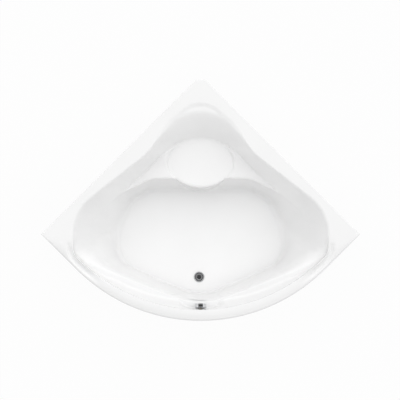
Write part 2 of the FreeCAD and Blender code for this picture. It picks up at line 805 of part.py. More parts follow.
# ---------------------------------------------------------------- cradle
def rail(label, spot, length, role, middle):
    """Square tube lying on the line of its plane's normal, resting height 0 to rail_size."""
    body = new_body(label)
    outer = new_sketch(body, role)
    side = "rail_size / 2"
    rectangle(outer, "0 - " + side, side, "0", "rail_size")
    rectangle(outer, "0 - %s + rail_wall" % side, "%s - rail_wall" % side, "rail_wall",
              "rail_size - rail_wall")
    pad(body, outer, length, midplane=middle, reverse=not middle)
    put(body, spot)
    return keep(body, label)


def drill(body, spots, depth):
    """Round holes up from the underside; spots are (x, y, radius) formulas."""
    sketch = new_sketch(body, "XY_Plane", "0 - 1")
    for x, y, radius in spots:
        circle(sketch, x, y, radius)
    pocket(body, sketch, depth, reverse=True)


FOOT_HOLE = "stud_diameter / 2 + running_gap"
BOARD_HOLE = "screw_diameter / 2 + hole_gap"
derive("arm_cross", "(front_centre_y - front_rail_y) / cos(panel_arm_angle)")
derive("arm_cross_x", "arm_cross * sin(panel_arm_angle)")
for label, place_y in (("front_cross_rail", "front_rail_y"), ("rear_cross_rail", "rear_rail_y")):
    cross_rail = rail(label, ("0", place_y, "rail_bottom"), "2 * rail_half", "YZ_Plane", True)
    seats = [("foot_x", "0", FOOT_HOLE), ("0 - foot_x", "0", FOOT_HOLE)]
    if label == "front_cross_rail":
        seats += [("arm_cross_x", "0", BOARD_HOLE), ("0 - arm_cross_x", "0", BOARD_HOLE)]
    drill(cross_rail, seats, "rail_wall + 2")
    through = [(sign + reach, "0", BOARD_HOLE)
               for sign in ("", "0 - ") for reach in ("screw_inner", "screw_outer")]
    drill(cross_rail, through, "rail_size + 2")
centre_rail = rail("centre_rail", ("0", "centre_rail_start", "rail_bottom"), "centre_rail_length",
                   "XZ_Plane", False)
drill(centre_rail, [("0", "back_foot_y - centre_rail_start", FOOT_HOLE)], "rail_wall + 2")


def end_cap(name, spot, along):
    """Plastic plug over the open end of a rail."""
    item = doc.addObject("Part::Box", name)
    if along == "x":
        bind(item, Length="cap_thick", Width="rail_size", Height="rail_size")
    else:
        bind(item, Length="rail_size", Width="cap_thick", Height="rail_size")
    return put(item, spot)


caps = []
for index, place_y in enumerate(("front_rail_y", "rear_rail_y")):
    low_y = place_y + " - rail_size / 2"
    caps.append(end_cap("cap_left_%d" % index, ("0 - rail_half - cap_thick", low_y, "rail_bottom"), "x"))
    caps.append(end_cap("cap_right_%d" % index, ("rail_half", low_y, "rail_bottom"), "x"))
back_end = "centre_rail_start + centre_rail_length"
caps.append(end_cap("cap_back", ("0 - rail_size / 2", back_end, "rail_bottom"), "y"))
group("rail_end_caps", caps)

prop = new_body("seat_prop")
derive("prop_height", "seat_level - acrylic - seat_board_thick - rail_top")
derive("half_plate", "plate_size / 2")
derive("half_prop", "prop_size / 2")
foot_plate = new_sketch(prop, "XY_Plane")
rectangle(foot_plate, "0 - half_plate", "half_plate", "0 - half_prop", "half_prop")
pad(prop, foot_plate, "plate_thick")
post = new_sketch(prop, "XY_Plane")
rectangle(post, "0 - half_prop", "half_prop", "0 - half_prop", "half_prop")
rectangle(post, "0 - half_prop + rail_wall", "half_prop - rail_wall", "0 - half_prop + rail_wall",
          "half_prop - rail_wall")
pad(prop, post, "prop_height")
head_plate = new_sketch(prop, "XY_Plane", "prop_height - plate_thick")
rectangle(head_plate, "0 - half_plate", "half_plate", "0 - half_plate", "half_plate")
pad(prop, head_plate, "plate_thick")
put(prop, ("0", "prop_y", "rail_top"))
keep(prop, "seat_prop")

board_screws = []
for index, spot in enumerate(board_screw_spots()):
    board_screws.append(screw("board_screw_%d" % index, spot + UP * val("rail_bottom"), UP,
                              "screw_diameter / 2",
                              "rail_size + screw_bite - 1", "screw_head / 2", "screw_head_height"))
group("board_screws", board_screws)

# ---------------------------------------------------------------- adjustable feet
FEET = {
    "front_left": ("0 - foot_x", "front_rail_y"),
    "front_right": ("foot_x", "front_rail_y"),
    "rear_left": ("0 - foot_x", "rear_rail_y"),
    "rear_right": ("foot_x", "rear_rail_y"),
    "back": ("0", "back_foot_y"),
}
derive("stud_low", "pad_height - pad_socket")
derive("stud_length", "rail_top - rail_wall - running_gap - 2 - stud_low")
derive("stud_radius", "stud_diameter / 2")
derive("jam_nut_low", "rail_bottom - 2 * nut_height - hole_gap")


def hexagon(sketch, flats):
    """Six corners round the sketch's origin, for a nut's width across the flats."""
    reach = "%s / sqrt(3)" % flats
    half = "%s / (2 * sqrt(3))" % flats
    up = "%s / 2" % flats
    polygon(sketch, [(reach, "0"), (half, up), ("0 - " + half, up), ("0 - " + reach, "0"),
                     ("0 - " + half, "0 - " + up), (half, "0 - " + up)])


def nut(label, spot):
    body = new_body(label)
    sketch = new_sketch(body, "XY_Plane")
    hexagon(sketch, "nut_flats")
    circle(sketch, "0", "0", FOOT_HOLE)
    pad(body, sketch, "nut_height")
    return put(body, spot)


weld_nuts = []
for name, (foot_place_x, foot_place_y) in FEET.items():
    turned("foot_stud_" + name, (foot_place_x, foot_place_y, "stud_low"), [
        ("0", "0"), ("stud_radius - 1", "0"), ("stud_radius", "1"), ("stud_radius", "stud_length - 1"),
        ("stud_radius - 1", "stud_length"), ("0", "stud_length")])
    turned("foot_pad_" + name, (foot_place_x, foot_place_y, "0"), [
        ("0", "0"), ("pad_diameter / 2 - 1", "0"), ("pad_diameter / 2", "1"),
        ("pad_diameter / 2", "stud_low"),
        ("stud_radius + 4", "pad_height"), (FOOT_HOLE, "pad_height"), (FOOT_HOLE, "stud_low"),
        ("0", "stud_low")])
    keep(nut("foot_nut_" + name, (foot_place_x, foot_place_y, "jam_nut_low")), "foot_nut_" + name)
    weld_nuts.append(nut("weld_nut_" + name, (foot_place_x, foot_place_y, "rail_bottom - nut_height")))
group("weld_nuts", weld_nuts)

# ---------------------------------------------------------------- wall hangers
derive("hanger_low", "rim_level - lip_depth - hanger_drop")


def hanger(name, side, shift):
    """J-shaped steel that hooks under the rim's lip; its long leg is screwed to the wall."""
    body = new_body(name)
    sketch = new_sketch(body, "YZ_Plane")
    inner = "0 - acrylic - hanger_gap"
    polygon(sketch, [
        ("0", "0"), ("0", "hanger_drop"), (inner, "hanger_drop"), (inner, "hanger_drop + hanger_lip"),
        (inner + " - hanger_thick", "hanger_drop + hanger_lip"),
        (inner + " - hanger_thick", "hanger_drop - hanger_thick"),
        ("0 - hanger_thick", "hanger_drop - hanger_thick"), ("0 - hanger_thick", "0")])
    pad(body, sketch, "hanger_width", midplane=True)
    hole = new_sketch(body, "XZ_Plane", "0 - 1")
    circle(hole, "0", "hanger_drop / 2", "wall_hole / 2")
    pocket(body, hole, "hanger_thick + 2", reverse=True)
    across = "(tip_x / 2 + %g * hanger_spread / sqrt(2)) * %g" % (shift, side)
    along = "(corner_y + tip_y) / 2 - %g * hanger_spread / sqrt(2)" % shift
    return put(body, (across, along, "hanger_low"), FreeCAD.Rotation(UP, -45 * side))


for label, side in (("right_wall_hangers", 1), ("left_wall_hangers", -1)):
    group(label, [hanger("%s_%d" % (label, shift + 1), side, shift) for shift in (-1, 1)])

# ---------------------------------------------------------------- front panel
PANEL_RADIUS = val("front_radius - acrylic - panel_gap")
PANEL_TOP = val("batten_level + panel_thick")


def ray(degrees):
    """Unit vector from the front's centre of curvature outwards, off the middle line."""
    angle = math.radians(degrees)
    return Vector(math.sin(angle), -math.cos(angle), 0)


def panel_section(aim):
    """Section of the panel in the upright plane through the centre and the ray."""
    skin = val("panel_thick")
    low = val("panel_foot")
    setback = val("plinth_depth")
    step = val("plinth_height")
    slope = step + val("plinth_slope")
    flange = val("flange_width")
    spots = [
        (setback, low), (setback, step), (0, slope), (0, PANEL_TOP), (flange, PANEL_TOP),
        (flange, PANEL_TOP - skin),
        (skin, PANEL_TOP - skin), (skin, slope), (setback + skin, step), (setback + skin, low + skin),
        (setback + flange, low + skin), (setback + flange, low),
    ]
    points = [FRONT_CENTRE + aim * (PANEL_RADIUS - inset) + UP * level for inset, level in spots]
    return Part.Face(Part.makePolygon(points + points[:1]))


def front_panel():
    """Bent apron: a quarter turn about the front's centre, and a straight return to each wall."""
    reach = val("wall_side - front_radius - wall_gap")
    solid = panel_section(ray(-45)).revolve(FRONT_CENTRE, UP, 90)
    returns = [
        panel_section(ray(45)).extrude(Vector(1, 1, 0).normalize() * reach),
        panel_section(ray(-45)).extrude(Vector(-1, 1, 0).normalize() * reach),
    ]
    solid = solid.multiFuse(returns)
    holes = [Part.makeCylinder(SCREW_HOLE, 4 * val("panel_thick"),
                               panel_screw_spot(side) - ray(side) * 2 * val("panel_thick"), ray(side))
             for side in (-val("panel_arm_angle"), val("panel_arm_angle"))]
    return solid.cut(holes).removeSplitter()


def panel_screw_spot(degrees):
    """Point on the plinth's outer face where a panel screw goes in."""
    radius = PANEL_RADIUS - val("plinth_depth")
    return FRONT_CENTRE + ray(degrees) * radius + UP * val("panel_screw_level")


derive("arm_level_low", "rail_bottom - arm_bar_thick")
derive("panel_screw_level", "plinth_height - 12")
derive("arm_tab_height", "arm_level_low + arm_bar_thick - panel_screw_level + arm_tab_margin")
derive("arm_reach", "front_radius - acrylic - panel_gap - plinth_depth - panel_thick - hole_gap")
shaped("front_panel", front_panel())


def panel_arm(label, degrees):
    """Flat bar from under the front rail to the plinth, with a tab turned down behind it."""
    body = new_body(label)
    bar = new_sketch(body, "YZ_Plane")
    inner = "0 - arm_cross + arm_bar_width / 2"
    polygon(bar, [
        (inner, "0"), (inner, "arm_bar_thick"), ("0 - arm_reach", "arm_bar_thick"),
        ("0 - arm_reach", "arm_bar_thick - arm_tab_height"),
        ("0 - arm_reach + arm_bar_thick", "arm_bar_thick - arm_tab_height"),
        ("0 - arm_reach + arm_bar_thick", "0")])
    pad(body, bar, "arm_bar_width", midplane=True)
    drill(body, [("0", "0 - arm_cross", BOARD_HOLE)], "arm_bar_thick + 2")
    hole = new_sketch(body, "XZ_Plane", "arm_reach - arm_bar_thick - 1")
    circle(hole, "0", "panel_screw_level - arm_level_low", BOARD_HOLE)
    pocket(body, hole, "arm_bar_thick + 2", reverse=True)
    put(body, ("0", "front_centre_y", "arm_level_low"), FreeCAD.Rotation(UP, degrees))
    return keep(body, label)


ARM_ANGLES = (-val("panel_arm_angle"), val("panel_arm_angle"))
panel_arm("left_panel_arm", ARM_ANGLES[0])
panel_arm("right_panel_arm", ARM_ANGLES[1])
arm_bolts = []
panel_screws = []
screw_caps = []
for index, degrees in enumerate(ARM_ANGLES):
    under = FRONT_CENTRE + ray(degrees) * val("arm_cross") + UP * val("arm_level_low")
    arm_bolts.append(screw("arm_bolt_%d" % index, under, UP, "screw_diameter / 2",
                           "arm_bar_thick + screw_bite",
                           "screw_head / 2", "screw_head_height"))
    spot = panel_screw_spot(degrees)
    back = ray(degrees) * -1
    panel_screws.append(screw("panel_screw_%d" % index, spot, back, "screw_diameter / 2",
                              "panel_thick + screw_bite",
                              "screw_head / 2", "screw_head_height"))
    cover = doc.addObject("Part::Cut", "panel_screw_cap_%d" % index)
    cover.Base = rod("cap_dome_%d" % index, "screw_head / 2 + 2", "screw_head_height + 2", spot,
                     ray(degrees))
    cover.Tool = rod("cap_room_%d" % index, "screw_head / 2 + running_gap",
                     "screw_head_height + running_gap",
                     spot, ray(degrees))
    screw_caps.append(cover)
group("panel_arm_bolts", arm_bolts)
group("panel_screws", panel_screws)
group("panel_screw_caps", screw_caps)

clips = []
clip_screws = []
derive("clip_outer", "front_radius - acrylic - panel_gap - panel_thick - 1")
derive("clip_screw_reach", "front_radius - front_batten_inset - front_batten_width / 2")
for index, formula in enumerate(("0 - clip_outer_angle", "0 - clip_angle", "clip_angle",
                                 "clip_outer_angle")):
    degrees = val(formula)
    clip = new_body("panel_clip_%d" % index)
    plate = new_sketch(clip, "XY_Plane")
    rectangle(plate, "0 - clip_width / 2", "clip_width / 2", "0 - clip_outer",
              "0 - clip_outer + clip_length")
    circle(plate, "0", "0 - clip_screw_reach", BOARD_HOLE)
    pad(clip, plate, "clip_thick")
    clips.append(put(clip, ("0", "front_centre_y", "batten_level - clip_thick"),
                     FreeCAD.Rotation(UP, degrees)))
    spot = FRONT_CENTRE + ray(degrees) * val("clip_screw_reach") + UP * val("batten_level - clip_thick")
    clip_screws.append(screw("clip_screw_%d" % index, spot, UP, "screw_diameter / 2", "clip_thick",
                             "screw_head / 2", "screw_head_height"))
group("panel_clips", clips)
group("panel_clip_screws", clip_screws)

# ---------------------------------------------------------------- waste and plug
WASTE_SPOT = ("waste_x", "waste_y", "floor_level")
derive("bore_radius", "bore_diameter / 2")
derive("tube_radius", "waste_tube / 2")
derive("flange_top", "seal_thick + flange_thick")
derive("thread_radius", "tube_radius + running_gap")
derive("collar_top", "0 - acrylic - seal_thick")
derive("cup_radius", "waste_body_diameter / 2")
derive("cup_low", "collar_top - waste_body_height")
derive("trap_radius", "trap_diameter / 2")
derive("spigot_low", "cup_low - spigot_length")
derive("cross_low", "0 - acrylic - 2 * spoke_height")
derive("stem_radius", "stem_diameter / 2")
derive("spigot_radius", "pipe_diameter / 2 - pipe_wall - running_gap")
derive("cable_level", "cup_low + cup_wall + cable_diameter / 2 + 2")
derive("stem_low", "cable_level + cable_rise + hole_gap")

ring("waste_top_seal", WASTE_SPOT, "tube_radius + running_gap", "flange_diameter / 2 - 2", "0",
     "seal_thick")
ring("waste_gasket", WASTE_SPOT, "tube_radius + waste_clearance", "waste_body_collar / 2 - 3",
     "0 - acrylic - seal_thick", "0 - acrylic")

flange = new_body("waste_flange")
turn(flange, [
    ("bore_radius", "0 - waste_tube_drop"), ("tube_radius", "0 - waste_tube_drop"),
    ("tube_radius", "seal_thick"),
    ("flange_diameter / 2", "seal_thick"), ("flange_diameter / 2", "seal_thick + flange_thick / 3"),
    ("flange_diameter / 2 - flange_thick", "flange_top"), ("bore_radius + 1", "flange_top"),
    ("bore_radius", "flange_top - 1")])
half_spoke = "spoke_width / 2"
for role_span in (("bore_radius + 1", half_spoke), (half_spoke, "bore_radius + 1")):
    spokes = new_sketch(flange, "XY_Plane", "cross_low")
    rectangle(spokes, "0 - (%s)" % role_span[0], role_span[0], "0 - (%s)" % role_span[1], role_span[1])
    pad(flange, spokes, "spoke_height")
hub = new_sketch(flange, "XY_Plane", "cross_low")
circle(hub, "0", "0", "hub_diameter / 2")
pad(flange, hub, "spoke_height")
guide = new_sketch(flange, "XY_Plane", "cross_low - 1")
circle(guide, "0", "0", "stem_radius + running_gap")
pocket(flange, guide, "spoke_height + 2", reverse=True)
put(flange, WASTE_SPOT)
keep(flange, "waste_flange")

waste_body = new_body("waste_body")
turn(waste_body, [
    ("thread_radius", "collar_top"), ("waste_body_collar / 2", "collar_top"),
    ("waste_body_collar / 2", "collar_top - collar_thick"), ("cup_radius", "collar_top - collar_thick"),
    ("cup_radius", "cup_low"), ("trap_radius", "cup_low"), ("trap_radius", "spigot_low"),
    ("trap_radius - trap_wall", "spigot_low"), ("trap_radius - trap_wall", "cup_low + cup_wall"),
    ("thread_radius", "cup_low + cup_wall")])
inlet = new_sketch(waste_body, "XZ_Plane", "cup_radius - 2")
circle(inlet, "0", "0 - stub_drop", "spigot_radius")
pad(waste_body, inlet, "stub_length - cup_radius + 2")
inlet_bore = new_sketch(waste_body, "XZ_Plane", "stub_length + 1")
circle(inlet_bore, "0", "0 - stub_drop", "spigot_radius - pipe_wall")
pocket(waste_body, inlet_bore, "stub_length - tube_radius + 3")
cable_way = new_sketch(waste_body, "YZ_Plane", "tube_radius - 3")
circle(cable_way, "0", "cable_level", "cable_diameter / 2 + hole_gap")
pocket(waste_body, cable_way, "cup_radius - tube_radius + 6", reverse=True)
put(waste_body, WASTE_SPOT)
keep(waste_body, "waste_body")

derive("plug_low", "flange_top + plug_rest")
derive("plug_radius", "plug_diameter / 2")
turned("plug_cap", WASTE_SPOT, [
    ("0", "plug_low"), ("plug_radius - 1", "plug_low"), ("plug_radius", "plug_low + 1"),
    ("plug_radius - 3", "plug_low + plug_thick * 0.6"),
    ("plug_radius * 0.5", "plug_low + plug_thick * 0.95"),
    ("0", "plug_low + plug_thick")])
ring("plug_seal", WASTE_SPOT, "stem_radius + running_gap", "bore_radius - hole_gap", "plug_low - 4",
     "plug_low")
turned("plug_stem", WASTE_SPOT, [
    ("0", "stem_low"), ("stem_radius", "stem_low"), ("stem_radius", "plug_low - 7"),
    ("hub_diameter / 2", "plug_low - 7"), ("hub_diameter / 2", "plug_low - 4"),
    ("stem_radius", "plug_low - 4"),
    ("stem_radius", "plug_low"), ("0", "plug_low")])

# ---------------------------------------------------------------- trap
derive("trap_wall_radius", "trap_radius - trap_wall")
TRAP_TOP = WASTE + UP * (floor_level + val("spigot_low - seal_thick"))
SIDE = FreeCAD.Rotation(UP, -val("outlet_turn")).multVec(Vector(-1, 0, 0))


def disc(spot, aim, outer, inner):
    """Cross-section of a tube: a ring, or a full disc where the inner radius is 0."""
    face = Part.Face(Part.Wire([Part.Circle(spot, aim, outer).toShape()]))
    if not inner:
        return face
    return face.cut(Part.Face(Part.Wire([Part.Circle(spot, aim, inner).toShape()])))


def bent_tube(points, radii, outer, inner):
    """Tube of straight runs through the points, with a round bend at each corner."""
    runs = []
    start = points[0]
    for index, radius in enumerate(radii, 1):
        corner = points[index]
        arrive = (corner - points[index - 1]).normalize()
        leave = (points[index + 1] - corner).normalize()
        angle = arrive.getAngle(leave)
        reach = radius * math.tan(angle / 2)
        first = corner - arrive * reach
        if round((first - start).Length, 3):
            runs.append(disc(start, arrive, outer, inner).extrude(first - start))
        axis = arrive.cross(leave).normalize()
        centre = first + axis.cross(arrive) * radius
        runs.append(disc(first, arrive, outer, inner).revolve(centre, axis, math.degrees(angle)))
        start = corner + leave * reach
    aim = (points[-1] - points[-2]).normalize()
    if round((points[-1] - start).Length, 3):
        runs.append(disc(start, aim, outer, inner).extrude(points[-1] - start))
    return runs[0].multiFuse(runs[1:]).removeSplitter()


bend = val("trap_bend")
dip = TRAP_TOP - UP * (val("trap_dip") + bend)
outlet_top = dip + SIDE * 2 * bend + UP * (bend * 2 + val("trap_rise"))
trap_end = outlet_top + SIDE * (bend + val("union_height"))
shaped("trap_body", bent_tube(
    [TRAP_TOP, dip, dip + SIDE * 2 * bend, outlet_top, trap_end], [bend, bend, bend],
    val("trap_radius"), val("trap_wall_radius")))
ring("trap_seal", WASTE_SPOT, "trap_wall_radius", "trap_radius", "spigot_low - seal_thick", "spigot_low")
ring("trap_nut", WASTE_SPOT, "trap_radius + hole_gap", "union_nut / 2", "spigot_low - union_height / 2",
     "spigot_low + union_height / 2")
ALONG_OUTLET = FreeCAD.Rotation(UP, SIDE)


def on_outlet(label, corners):
    """Piece turned about the outlet's axis, measured from the trap's end."""
    item = new_body(label)
    turn(item, corners)
    item.Placement = FreeCAD.Placement(trap_end, ALONG_OUTLET)
    return keep(item, label)


derive("outlet_radius", "outlet_diameter / 2")
derive("nut_end", "union_height / 2")
derive("bead_low", "nut_end + hole_gap")
derive("bead_high", "bead_low + outlet_bead")
derive("outlet_end", "bead_high + outlet_bead + outlet_length")
derive("seal_end", "2 * seal_thick")
on_outlet("outlet_pipe", [
    ("outlet_radius - pipe_wall", "0"), ("outlet_radius", "0"), ("outlet_radius", "bead_low"),
    ("outlet_radius + outlet_bead", "bead_low"), ("outlet_radius + outlet_bead", "bead_high"),
    ("outlet_radius", "bead_high + outlet_bead"), ("outlet_radius", "outlet_end"),
    ("outlet_radius - pipe_wall", "outlet_end")])
on_outlet("outlet_seal", [
    ("outlet_radius + running_gap", "0"), ("trap_radius", "0"), ("trap_radius", "seal_end"),
    ("outlet_radius + running_gap", "seal_end")])
on_outlet("outlet_nut", [
    ("trap_radius + hole_gap", "0 - nut_end"), ("union_nut / 2", "0 - nut_end"),
    ("union_nut / 2", "nut_end"), ("outlet_radius + hole_gap", "nut_end"),
    ("outlet_radius + hole_gap", "seal_end"),
    ("trap_radius + hole_gap", "seal_end")])

# ---------------------------------------------------------------- overflow and knob
KNOB_SPOT = ("0", "boss_y", "knob_level")
derive("boss_back", "0 - pad_boss_length")
derive("body_face", "boss_back - seal_thick")
derive("body_back", "body_face - overflow_cup_depth")
derive("neck_radius", "overflow_neck / 2")
derive("overflow_radius", "overflow_cup / 2")
derive("spindle_radius", "spindle_diameter / 2")
derive("knob_end", "knob_proud + knob_length")
derive("hub_low", "knob_proud + knob_wall")
derive("knob_radius", "knob_diameter / 2")
derive("pipe_place", "body_back + overflow_cup_depth / 2 - 3")
derive("crank_middle", "body_back + overflow_cup_depth / 2 + 1")
ring("overflow_gasket", KNOB_SPOT, "neck_radius + running_gap", "overflow_collar / 2", "body_face",
     "boss_back",
     INTO_TUB)
ring("overflow_face_plate", KNOB_SPOT, "neck_radius + running_gap", "face_diameter / 2", "0", "face_thick",
     INTO_TUB)

overflow_body = new_body("overflow_body")
turn(overflow_body, [
    ("0", "body_back"), ("overflow_radius", "body_back"), ("overflow_radius", "body_face - cup_wall"),
    ("overflow_collar / 2", "body_face - cup_wall"), ("overflow_collar / 2", "body_face"),
    ("neck_radius", "body_face"),
    ("neck_radius", "face_thick"), ("neck_radius - cup_wall", "face_thick"),
    ("neck_radius - cup_wall", "body_face"),
    ("overflow_radius - cup_wall", "body_face - cup_wall"),
    ("overflow_radius - cup_wall", "body_back + cup_wall"),
    ("0", "body_back + cup_wall")])
for span in (("neck_radius - 1", half_spoke), (half_spoke, "neck_radius - 1")):
    web = new_sketch(overflow_body, "XY_Plane", "0 - spoke_height")
    rectangle(web, "0 - (%s)" % span[0], span[0], "0 - (%s)" % span[1], span[1])
    pad(overflow_body, web, "spoke_height")
bearing = new_sketch(overflow_body, "XY_Plane", "0 - spoke_height")
circle(bearing, "0", "0", "hub_diameter / 2")
pad(overflow_body, bearing, "spoke_height")
spigot = new_sketch(overflow_body, "XZ_Plane", "0 - overflow_radius - overflow_spigot")
circle(spigot, "0", "pipe_place", "spigot_radius")
pad(overflow_body, spigot, "overflow_spigot + 2")
spigot_bore = new_sketch(overflow_body, "XZ_Plane", "0 - overflow_radius - overflow_spigot - 1")
circle(spigot_bore, "0", "pipe_place", "spigot_radius - pipe_wall")
pocket(overflow_body, spigot_bore, "overflow_spigot + 10", reverse=True)
sleeve_way = new_sketch(overflow_body, "XZ_Plane", "0 - overflow_radius - 1")
circle(sleeve_way, "cable_offset", "crank_middle", "cable_diameter / 2 + hole_gap")
pocket(overflow_body, sleeve_way, "overflow_radius + 1 - crank_thick", reverse=True)
shaft_hole = new_sketch(overflow_body, "XY_Plane", "0 - spoke_height - 1")
circle(shaft_hole, "0", "0", "spindle_radius + running_gap")
pocket(overflow_body, shaft_hole, "spoke_height + 2", reverse=True)
put(overflow_body, KNOB_SPOT, INTO_TUB)
keep(overflow_body, "overflow_body")

knob = new_body("overflow_knob")
turn(knob, [
    ("spindle_radius + running_gap", "hub_low"), ("hub_reach", "hub_low"),
    ("hub_reach", "knob_end - knob_wall"), ("knob_radius - knob_wall", "knob_end - knob_wall"),
    ("knob_radius - knob_wall", "knob_proud"), ("knob_radius", "knob_proud"),
    ("knob_radius", "knob_end - 2"),
    ("knob_radius - 2", "knob_end"), ("0", "knob_end"), ("0", "knob_end - knob_wall / 2"),
    ("spindle_radius + running_gap", "knob_end - knob_wall / 2")])
grip = new_sketch(knob, "XY_Plane", "knob_end - 1")
rectangle(grip, "0 - knob_radius + 5", "knob_radius - 5", "0 - grip_width / 2", "grip_width / 2")
pad(knob, grip, "grip_height + 1")
put(knob, KNOB_SPOT, INTO_TUB)
keep(knob, "overflow_knob")
turned("knob_spindle", KNOB_SPOT, [
    ("0", "body_back + cup_wall + 2"), ("spindle_radius", "body_back + cup_wall + 2"),
    ("spindle_radius", "knob_end - knob_wall / 2"), ("0", "knob_end - knob_wall / 2")], INTO_TUB)
ring("cable_crank", KNOB_SPOT, "spindle_radius", "crank_diameter / 2", "crank_middle - crank_thick / 2",
     "crank_middle + crank_thick / 2", INTO_TUB)

# ---------------------------------------------------------------- overflow pipe and control cable
BEHIND = KNOB + INWARD * val("pipe_place")
PIPE_TOP = BEHIND - UP * val("overflow_radius + overflow_spigot - pipe_overlap")
INLET = WASTE + UP * (floor_level - val("stub_drop"))
pipe_end = INLET - INWARD * val("stub_length - pipe_overlap")
pipe_low = Vector(BEHIND.x, BEHIND.y, INLET.z)
pipe_turn = INLET - INWARD * val("stub_length + pipe_bend")
pipe_reach = val("pipe_diameter / 2")
shaped("overflow_pipe", bent_tube(
    [PIPE_TOP, pipe_low, pipe_turn, pipe_end], [val("pipe_bend"), val("pipe_bend")],
    pipe_reach, pipe_reach - val("pipe_wall")))


def clamp(label, spot, direction):
    """Band round one end of the overflow pipe."""
    band = doc.addObject("Part::Cut", label)
    start = spot + direction * val("clamp_inset")
    band.Base = rod(label + "_outside", "pipe_diameter / 2 + clamp_thick", "clamp_width", start, direction)
    band.Tool = rod(label + "_inside", "pipe_diameter / 2", "clamp_width", start, direction)
    return band


group("pipe_clamps", [clamp("upper_clamp", PIPE_TOP, UP * -1), clamp("lower_clamp", pipe_end, INWARD * -1)])

cable_top = KNOB + INWARD * val("crank_middle") + Vector(val("cable_offset"), 0, -val("crank_thick"))
CABLE_END = WASTE + UP * (floor_level + val("cable_level"))
beside = CABLE_END + Vector(val("cable_side"), 0, 0)
cable_spots = [
    cable_top,
    Vector(cable_top.x, cable_top.y, CABLE_END.z + val("cable_side")),
    beside - INWARD * val("cable_swing"),
    beside,
    CABLE_END,
    CABLE_END + UP * val("cable_rise"),
]
wide_bend = val("cable_bend")
shaped("control_cable", bent_tube(
    cable_spots, [wide_bend, wide_bend, wide_bend, val("cable_hook")], val("cable_diameter / 2"), 0))

# ---------------------------------------------------------------- check and hand out the pieces
doc.recompute()
for item in doc.Objects:
    if "Invalid" in item.State or "Error" in item.State:
        raise RuntimeError("%s did not build: %s" % (item.Label, item.State))
for item in nodes:
    if item.Shape.isNull() or not item.Shape.isValid():
        raise RuntimeError("%s has no sound shape" % item.Label)
os.makedirs("parts", exist_ok=True)
for item in nodes:
    item.Shape.exportStep("parts/%s.step" % item.Label)
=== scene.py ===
"""Corner bath, dressed for its picture: moulded shell, fittings, finishes, stage and camera.

Metres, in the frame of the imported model: +Z up, +Y towards the room corner, -Y to the curved front.
"""

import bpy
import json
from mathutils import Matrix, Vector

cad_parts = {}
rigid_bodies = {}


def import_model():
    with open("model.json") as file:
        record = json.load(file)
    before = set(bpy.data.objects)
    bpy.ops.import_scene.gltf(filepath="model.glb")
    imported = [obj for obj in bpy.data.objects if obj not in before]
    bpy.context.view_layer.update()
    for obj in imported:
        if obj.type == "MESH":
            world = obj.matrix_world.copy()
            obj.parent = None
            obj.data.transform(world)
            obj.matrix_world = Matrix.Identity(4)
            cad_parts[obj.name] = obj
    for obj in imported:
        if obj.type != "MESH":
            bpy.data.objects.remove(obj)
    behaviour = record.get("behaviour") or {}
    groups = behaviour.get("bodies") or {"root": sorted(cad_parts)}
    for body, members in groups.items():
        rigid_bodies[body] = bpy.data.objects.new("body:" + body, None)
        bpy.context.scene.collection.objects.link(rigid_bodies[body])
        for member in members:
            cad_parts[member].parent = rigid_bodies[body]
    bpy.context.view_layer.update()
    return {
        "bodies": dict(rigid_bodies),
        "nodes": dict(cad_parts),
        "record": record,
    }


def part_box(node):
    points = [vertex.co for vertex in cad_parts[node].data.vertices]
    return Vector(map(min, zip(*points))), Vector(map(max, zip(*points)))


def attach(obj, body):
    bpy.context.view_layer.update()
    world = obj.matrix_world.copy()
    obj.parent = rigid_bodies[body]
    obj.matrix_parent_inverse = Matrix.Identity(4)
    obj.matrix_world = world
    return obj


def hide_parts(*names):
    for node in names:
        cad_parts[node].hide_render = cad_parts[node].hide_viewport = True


bl_info = {
    "name": "Corner Bath",
    "version": (1, 0, 0),
    "blender": (4, 5, 0),
    "location": "3D View > Sidebar > Bath",
    "description": "Dresses the frame of a moulded corner bath with its shell, fittings and finishes",
    "category": "Object",
}

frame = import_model()

import json
import math

import bmesh
import bpy
import numpy as np
from bpy.props import FloatProperty, FloatVectorProperty, IntProperty, PointerProperty
from mathutils import Matrix, Vector

SHELL_LOW, SHELL_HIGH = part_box("bath_shell")
FLANGE_LOW, FLANGE_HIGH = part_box("waste_flange")
PLATE_LOW, PLATE_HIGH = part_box("overflow_face_plate")
KNOB_LOW, KNOB_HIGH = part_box("overflow_knob")
CAP_LOW, CAP_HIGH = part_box("plug_cap")


def middle(low, high, axis):
    return (low[axis] + high[axis]) / 2


WASTE_X = middle(FLANGE_LOW, FLANGE_HIGH, 0)
WASTE_Y = middle(FLANGE_LOW, FLANGE_HIGH, 1)
KNOB_X = middle(KNOB_LOW, KNOB_HIGH, 0)
KNOB_Z = middle(KNOB_LOW, KNOB_HIGH, 2)
TIP_X = SHELL_HIGH[0]
FRONT_Y = SHELL_LOW[1]
BACK_Y = SHELL_HIGH[1]


# ---------------------------------------------------------------- sizes and colours a user may change
def length(name, description, default):
    return FloatProperty(name=name, description=description, default=default, unit="LENGTH", subtype="DISTANCE")


def colour(name, description, value):
    return FloatVectorProperty(name=name, description=description, default=value, size=3, min=0, max=1,
                               subtype="COLOR")


